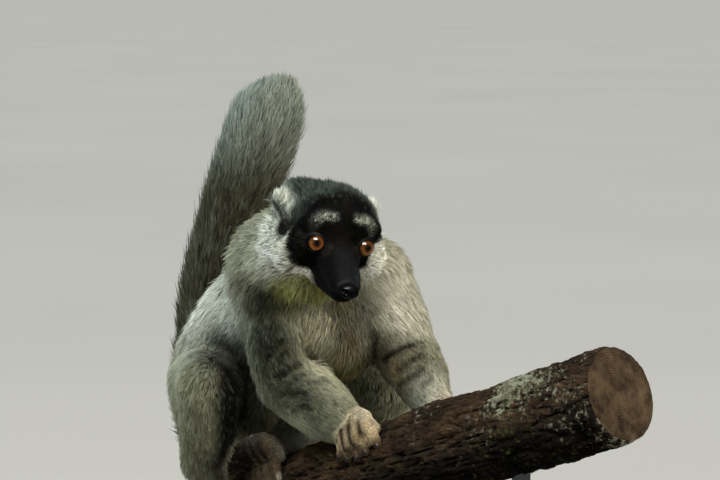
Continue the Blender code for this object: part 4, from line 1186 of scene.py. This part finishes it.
# painted shade: the iris is darker towards its top
height = add(tree, "Attribute", attribute_name="height").outputs["Fac"]
depth = add(tree, "MapRange", {"Value": height, "From Min": -0.55, "From Max": 0.5,
                               "To Min": 1.4, "To Max": 0.4})
colour = add(tree, "Mix", {MIX_SHARE: 1.0, MIX_UNDER: flecked.outputs[MIXED],
                           MIX_OVER: depth.outputs["Result"]}, **MULTIPLIED)
wire(tree, shader, Base_Color=colour.outputs[MIXED])
for side in ("right", "left"):
    bm = bmesh.new()
    bmesh.ops.create_uvsphere(bm, u_segments=EYE_SIDES[0], v_segments=EYE_SIDES[1],
                              radius=EYE_RADIUS)
    spoke_layer = bm.verts.layers.float_vector.new("spokes")
    axis_layer = bm.verts.layers.float.new("off_axis")
    height_layer = bm.verts.layers.float.new("height")
    for vert in bm.verts:
        angle = math.acos(max(-1.0, min(1.0, vert.co.normalized().z)))
        turn = math.atan2(vert.co.y, vert.co.x)
        vert[axis_layer] = angle / math.radians(90)
        vert[spoke_layer] = (math.cos(turn) * 3.5, math.sin(turn) * 3.5, angle * 0.8)
        if angle < CORNEA_EDGE:
            bulge = math.cos(angle / CORNEA_EDGE * math.pi / 2)
            vert.co += vert.co.normalized() * CORNEA_RISE * bulge
    turn = Vector((0, 0, 1)).rotation_difference(Vector(gaze[side])).to_matrix().to_4x4()
    bmesh.ops.transform(bm, matrix=Matrix.Translation(eyes[side]) @ turn, verts=bm.verts)
    for vert in bm.verts:
        vert[height_layer] = (vert.co - eyes[side]).dot(up) / EYE_RADIUS
    ball = mesh_piece("eyeball_" + side, bm, eye_glass)
    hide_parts("eye_" + side)

# Nose pad: bare, moist black skin with a fine pebbled grain, a comma-shaped nostril on each
# side and a shallow groove down its middle.
NOSE_HALF = (8.2 * MM, 6.0 * MM, 6.2 * MM)
# Wet-looking black skin: a thin film of moisture over small pebbles
nose_skin, tree, shader = new_material("moist_nose_skin", Roughness=0.4, Coat_Weight=0.2,
                                       Coat_Roughness=0.16, Specular_IOR_Level=0.1)
place = add(tree, "TexCoord").outputs["Object"]
PEBBLE = 0.55 * MM
pebbles = add(tree, "TexVoronoi", {"Vector": place, "Scale": 1 / PEBBLE})
bump = add(tree, "Bump", {"Height": pebbles.outputs["Distance"], "Strength": 0.35,
                          "Distance": 0.15 * MM})
tone = add(tree, "ValToRGB", {"Fac": pebbles.outputs["Distance"]},
           stops=((0.1, "#020203"), (0.8, "#060607")))
wire(tree, shader, Base_Color=tone.outputs["Color"], Normal=bump.outputs["Normal"])
bm = bmesh.new()
bmesh.ops.create_icosphere(bm, subdivisions=6, radius=1.0)
for vert in bm.verts:
    x, y, z = vert.co
    nostril = math.exp(-((abs(x) - 0.5) / 0.17) ** 2 - ((z + 0.02) / 0.26) ** 2) * (y > 0)
    comma = math.exp(-((abs(x) - 0.86) / 0.15) ** 2 - ((z - 0.16 + abs(x) * 0.1) / 0.13) ** 2)
    groove = math.exp(-(x / 0.1) ** 2) * (z < 0.2) * (y > -0.2)
    wing = math.exp(-((abs(x) - 0.62) / 0.3) ** 2 - ((z - 0.42) / 0.3) ** 2)
    vert.co *= 1 - 0.5 * nostril - 0.28 * comma - 0.1 * groove + 0.07 * wing
    vert.co.x *= NOSE_HALF[0]
    vert.co.y *= NOSE_HALF[1]
    vert.co.z *= NOSE_HALF[2]
head_turn = Matrix(HEAD_AXES.tolist()).transposed().to_4x4()
bmesh.ops.transform(bm, matrix=Matrix.Translation(middle("nose")) @ head_turn, verts=bm.verts)
bmesh.ops.recalc_face_normals(bm, faces=bm.faces)
pad = mesh_piece("nose_pad", bm, nose_skin)
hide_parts("nose")

# Nails: flat dark horn nails, one on each finger and toe, bedded in the digit's round end.
NAIL_HALF = (1.9 * MM, 2.7 * MM, 0.7 * MM)
NAIL_TILT = math.radians(-22)
STREAK = 1.11 * MM
# Keratin horn: smooth and a little glossy, streaked along its growth
horn, tree, shader = new_material("dark_horn", Roughness=0.35, Coat_Weight=0.2)
place = add(tree, "TexCoord").outputs["Object"]
streaks = add(tree, "TexNoise", {"Vector": place, "Scale": 1 / STREAK, "Detail": 2.0})
tone = add(tree, "ValToRGB", {"Fac": streaks.outputs["Fac"]},
           stops=((0.3, "#120e0b"), (0.7, "#2f261f")))
wire(tree, shader, Base_Color=tone.outputs["Color"])
for paw, lines in digit_lines.items():
    bm = bmesh.new()
    for line in lines:
        tip, before = Vector(line[-1][:3]), Vector(line[-4][:3])
        onward = (tip - before).normalized()
        out = tip - perch_axis(tip.y)
        out = (out - onward * out.dot(onward)).normalized()
        radius = line[-1][3]
        centre = tip + out * radius * 0.8 + onward * radius * 0.45
        axes = Matrix((out.cross(onward), onward, out)).transposed().to_4x4()
        tilt = Matrix.Rotation(NAIL_TILT, 4, "X")
        half = Matrix.Diagonal((*NAIL_HALF, 1.0))
        bmesh.ops.create_icosphere(bm, subdivisions=3, radius=1.0,
                                   matrix=Matrix.Translation(centre) @ axes @ tilt @ half)
    bmesh.ops.recalc_face_normals(bm, faces=bm.faces)
    mesh_piece("nails_" + paw, bm, horn)

# Room: a plain pale floor under soft studio light: a broad cool lamp from behind on the
# animal's right, two warm ones in front, and an oval panel for the face. A wider oval panel
# only shows as the shine in the glass eyes and on the nose.
MOTTLE = 1.25                     # metres
plaster, tree, shader = new_material("pale_floor", Roughness=0.9)
place = add(tree, "TexCoord").outputs["Object"]
mottle = add(tree, "TexNoise", {"Vector": place, "Scale": 1 / MOTTLE, "Detail": 2.0})
tone = add(tree, "ValToRGB", {"Fac": mottle.outputs["Fac"]},
           stops=((0.3, "#b3b1ac"), (0.7, "#b7b5b0")))
wire(tree, shader, Base_Color=tone.outputs["Color"])
bm = bmesh.new()
FLOOR_SIZE = 160.0
bmesh.ops.create_grid(bm, x_segments=2, y_segments=2, size=FLOOR_SIZE / 2)
mesh = bpy.data.meshes.new("floor")
bm.to_mesh(mesh)
bm.free()
floor = put("floor", mesh)
give(floor, plaster)
floor.visible_glossy = False

TARGET = Vector((-0.012, -0.0302, 0.3995))
CAMERA_AZIMUTH = math.radians(-45)
CAMERA_ELEVATION = math.radians(6)
CAMERA_DISTANCE = 2.0
LENS = 127                        # millimetres, as is the sensor's breadth
SENSOR = 36
toward = Vector((math.sin(CAMERA_AZIMUTH) * math.cos(CAMERA_ELEVATION),
                 -math.cos(CAMERA_AZIMUTH) * math.cos(CAMERA_ELEVATION),
                 math.sin(CAMERA_ELEVATION)))
camera_data = bpy.data.cameras.new("camera")
camera_data.lens = LENS
camera_data.sensor_width = SENSOR
camera = put("camera", camera_data)
camera.location = TARGET + toward * CAMERA_DISTANCE
camera.rotation_euler = (-toward).to_track_quat("-Z", "Y").to_euler()
bpy.context.scene.camera = camera

SUNS = (  # where from, strength, breadth in degrees, colour
    ((-0.64, 0.5, 0.76), 2.6, 30, "#eefaff"),
    ((0.5, -0.8, 0.6), 1.9, 30, "#fff6e8"),
    ((-0.1, -1.0, 0.14), 1.1, 40, "#fff4e2"),
)
for index, (source, strength, breadth, code) in enumerate(SUNS):
    lamp = bpy.data.lights.new(f"soft_light_{index}", "SUN")
    lamp.energy = strength
    lamp.angle = math.radians(breadth)
    lamp.color = linear(code)
    light = put(f"soft_light_{index}", lamp)
    light.rotation_euler = Vector(source).to_track_quat("Z", "Y").to_euler()
    light.visible_glossy = False
PANEL_FLATNESS = 0.55
PANELS = (  # place, breadth, watts, colour, and whether it is only seen as a shine
    ((-1.18, -1.12, 2.2), 0.8, 26, "#fff8ee", False),
    ((-1.15, -1.15, 2.3), 2.2, 129, "#fff8ee", True),
)
for index, (place, size, watts, code, only_shine) in enumerate(PANELS):
    lamp = bpy.data.lights.new(f"panel_{index}", "AREA")
    lamp.shape = "ELLIPSE"
    lamp.size = size
    lamp.size_y = PANEL_FLATNESS * size
    lamp.energy = watts
    lamp.color = linear(code)
    panel = put(f"panel_{index}", lamp)
    panel.location = place
    panel.visible_glossy = only_shine
    panel.visible_diffuse = not only_shine
    panel.rotation_euler = (TARGET - Vector(place)).to_track_quat("-Z", "Y").to_euler()
ROOM_LIGHT = 0.36
MIRRORED_LIGHT = 0.09             # the room is dimmer where it is mirrored, in the eyes
studio = bpy.data.worlds.new("studio")
bpy.context.scene.world = studio
studio.use_nodes = True
tree = studio.node_tree
walls = tree.nodes["Background"]
walls.inputs["Color"].default_value = (*linear("#e4e8ea"), 1.0)
mirrored_room = add(tree, "LightPath").outputs["Is Glossy Ray"]
dimmed = add(tree, "MapRange", {"Value": mirrored_room, "To Min": ROOM_LIGHT,
                                "To Max": MIRRORED_LIGHT})
wire(tree, walls, Strength=dimmed.outputs["Result"])
bpy.context.scene.view_settings.view_transform = "Standard"
bpy.context.scene.cycles.use_denoising = True
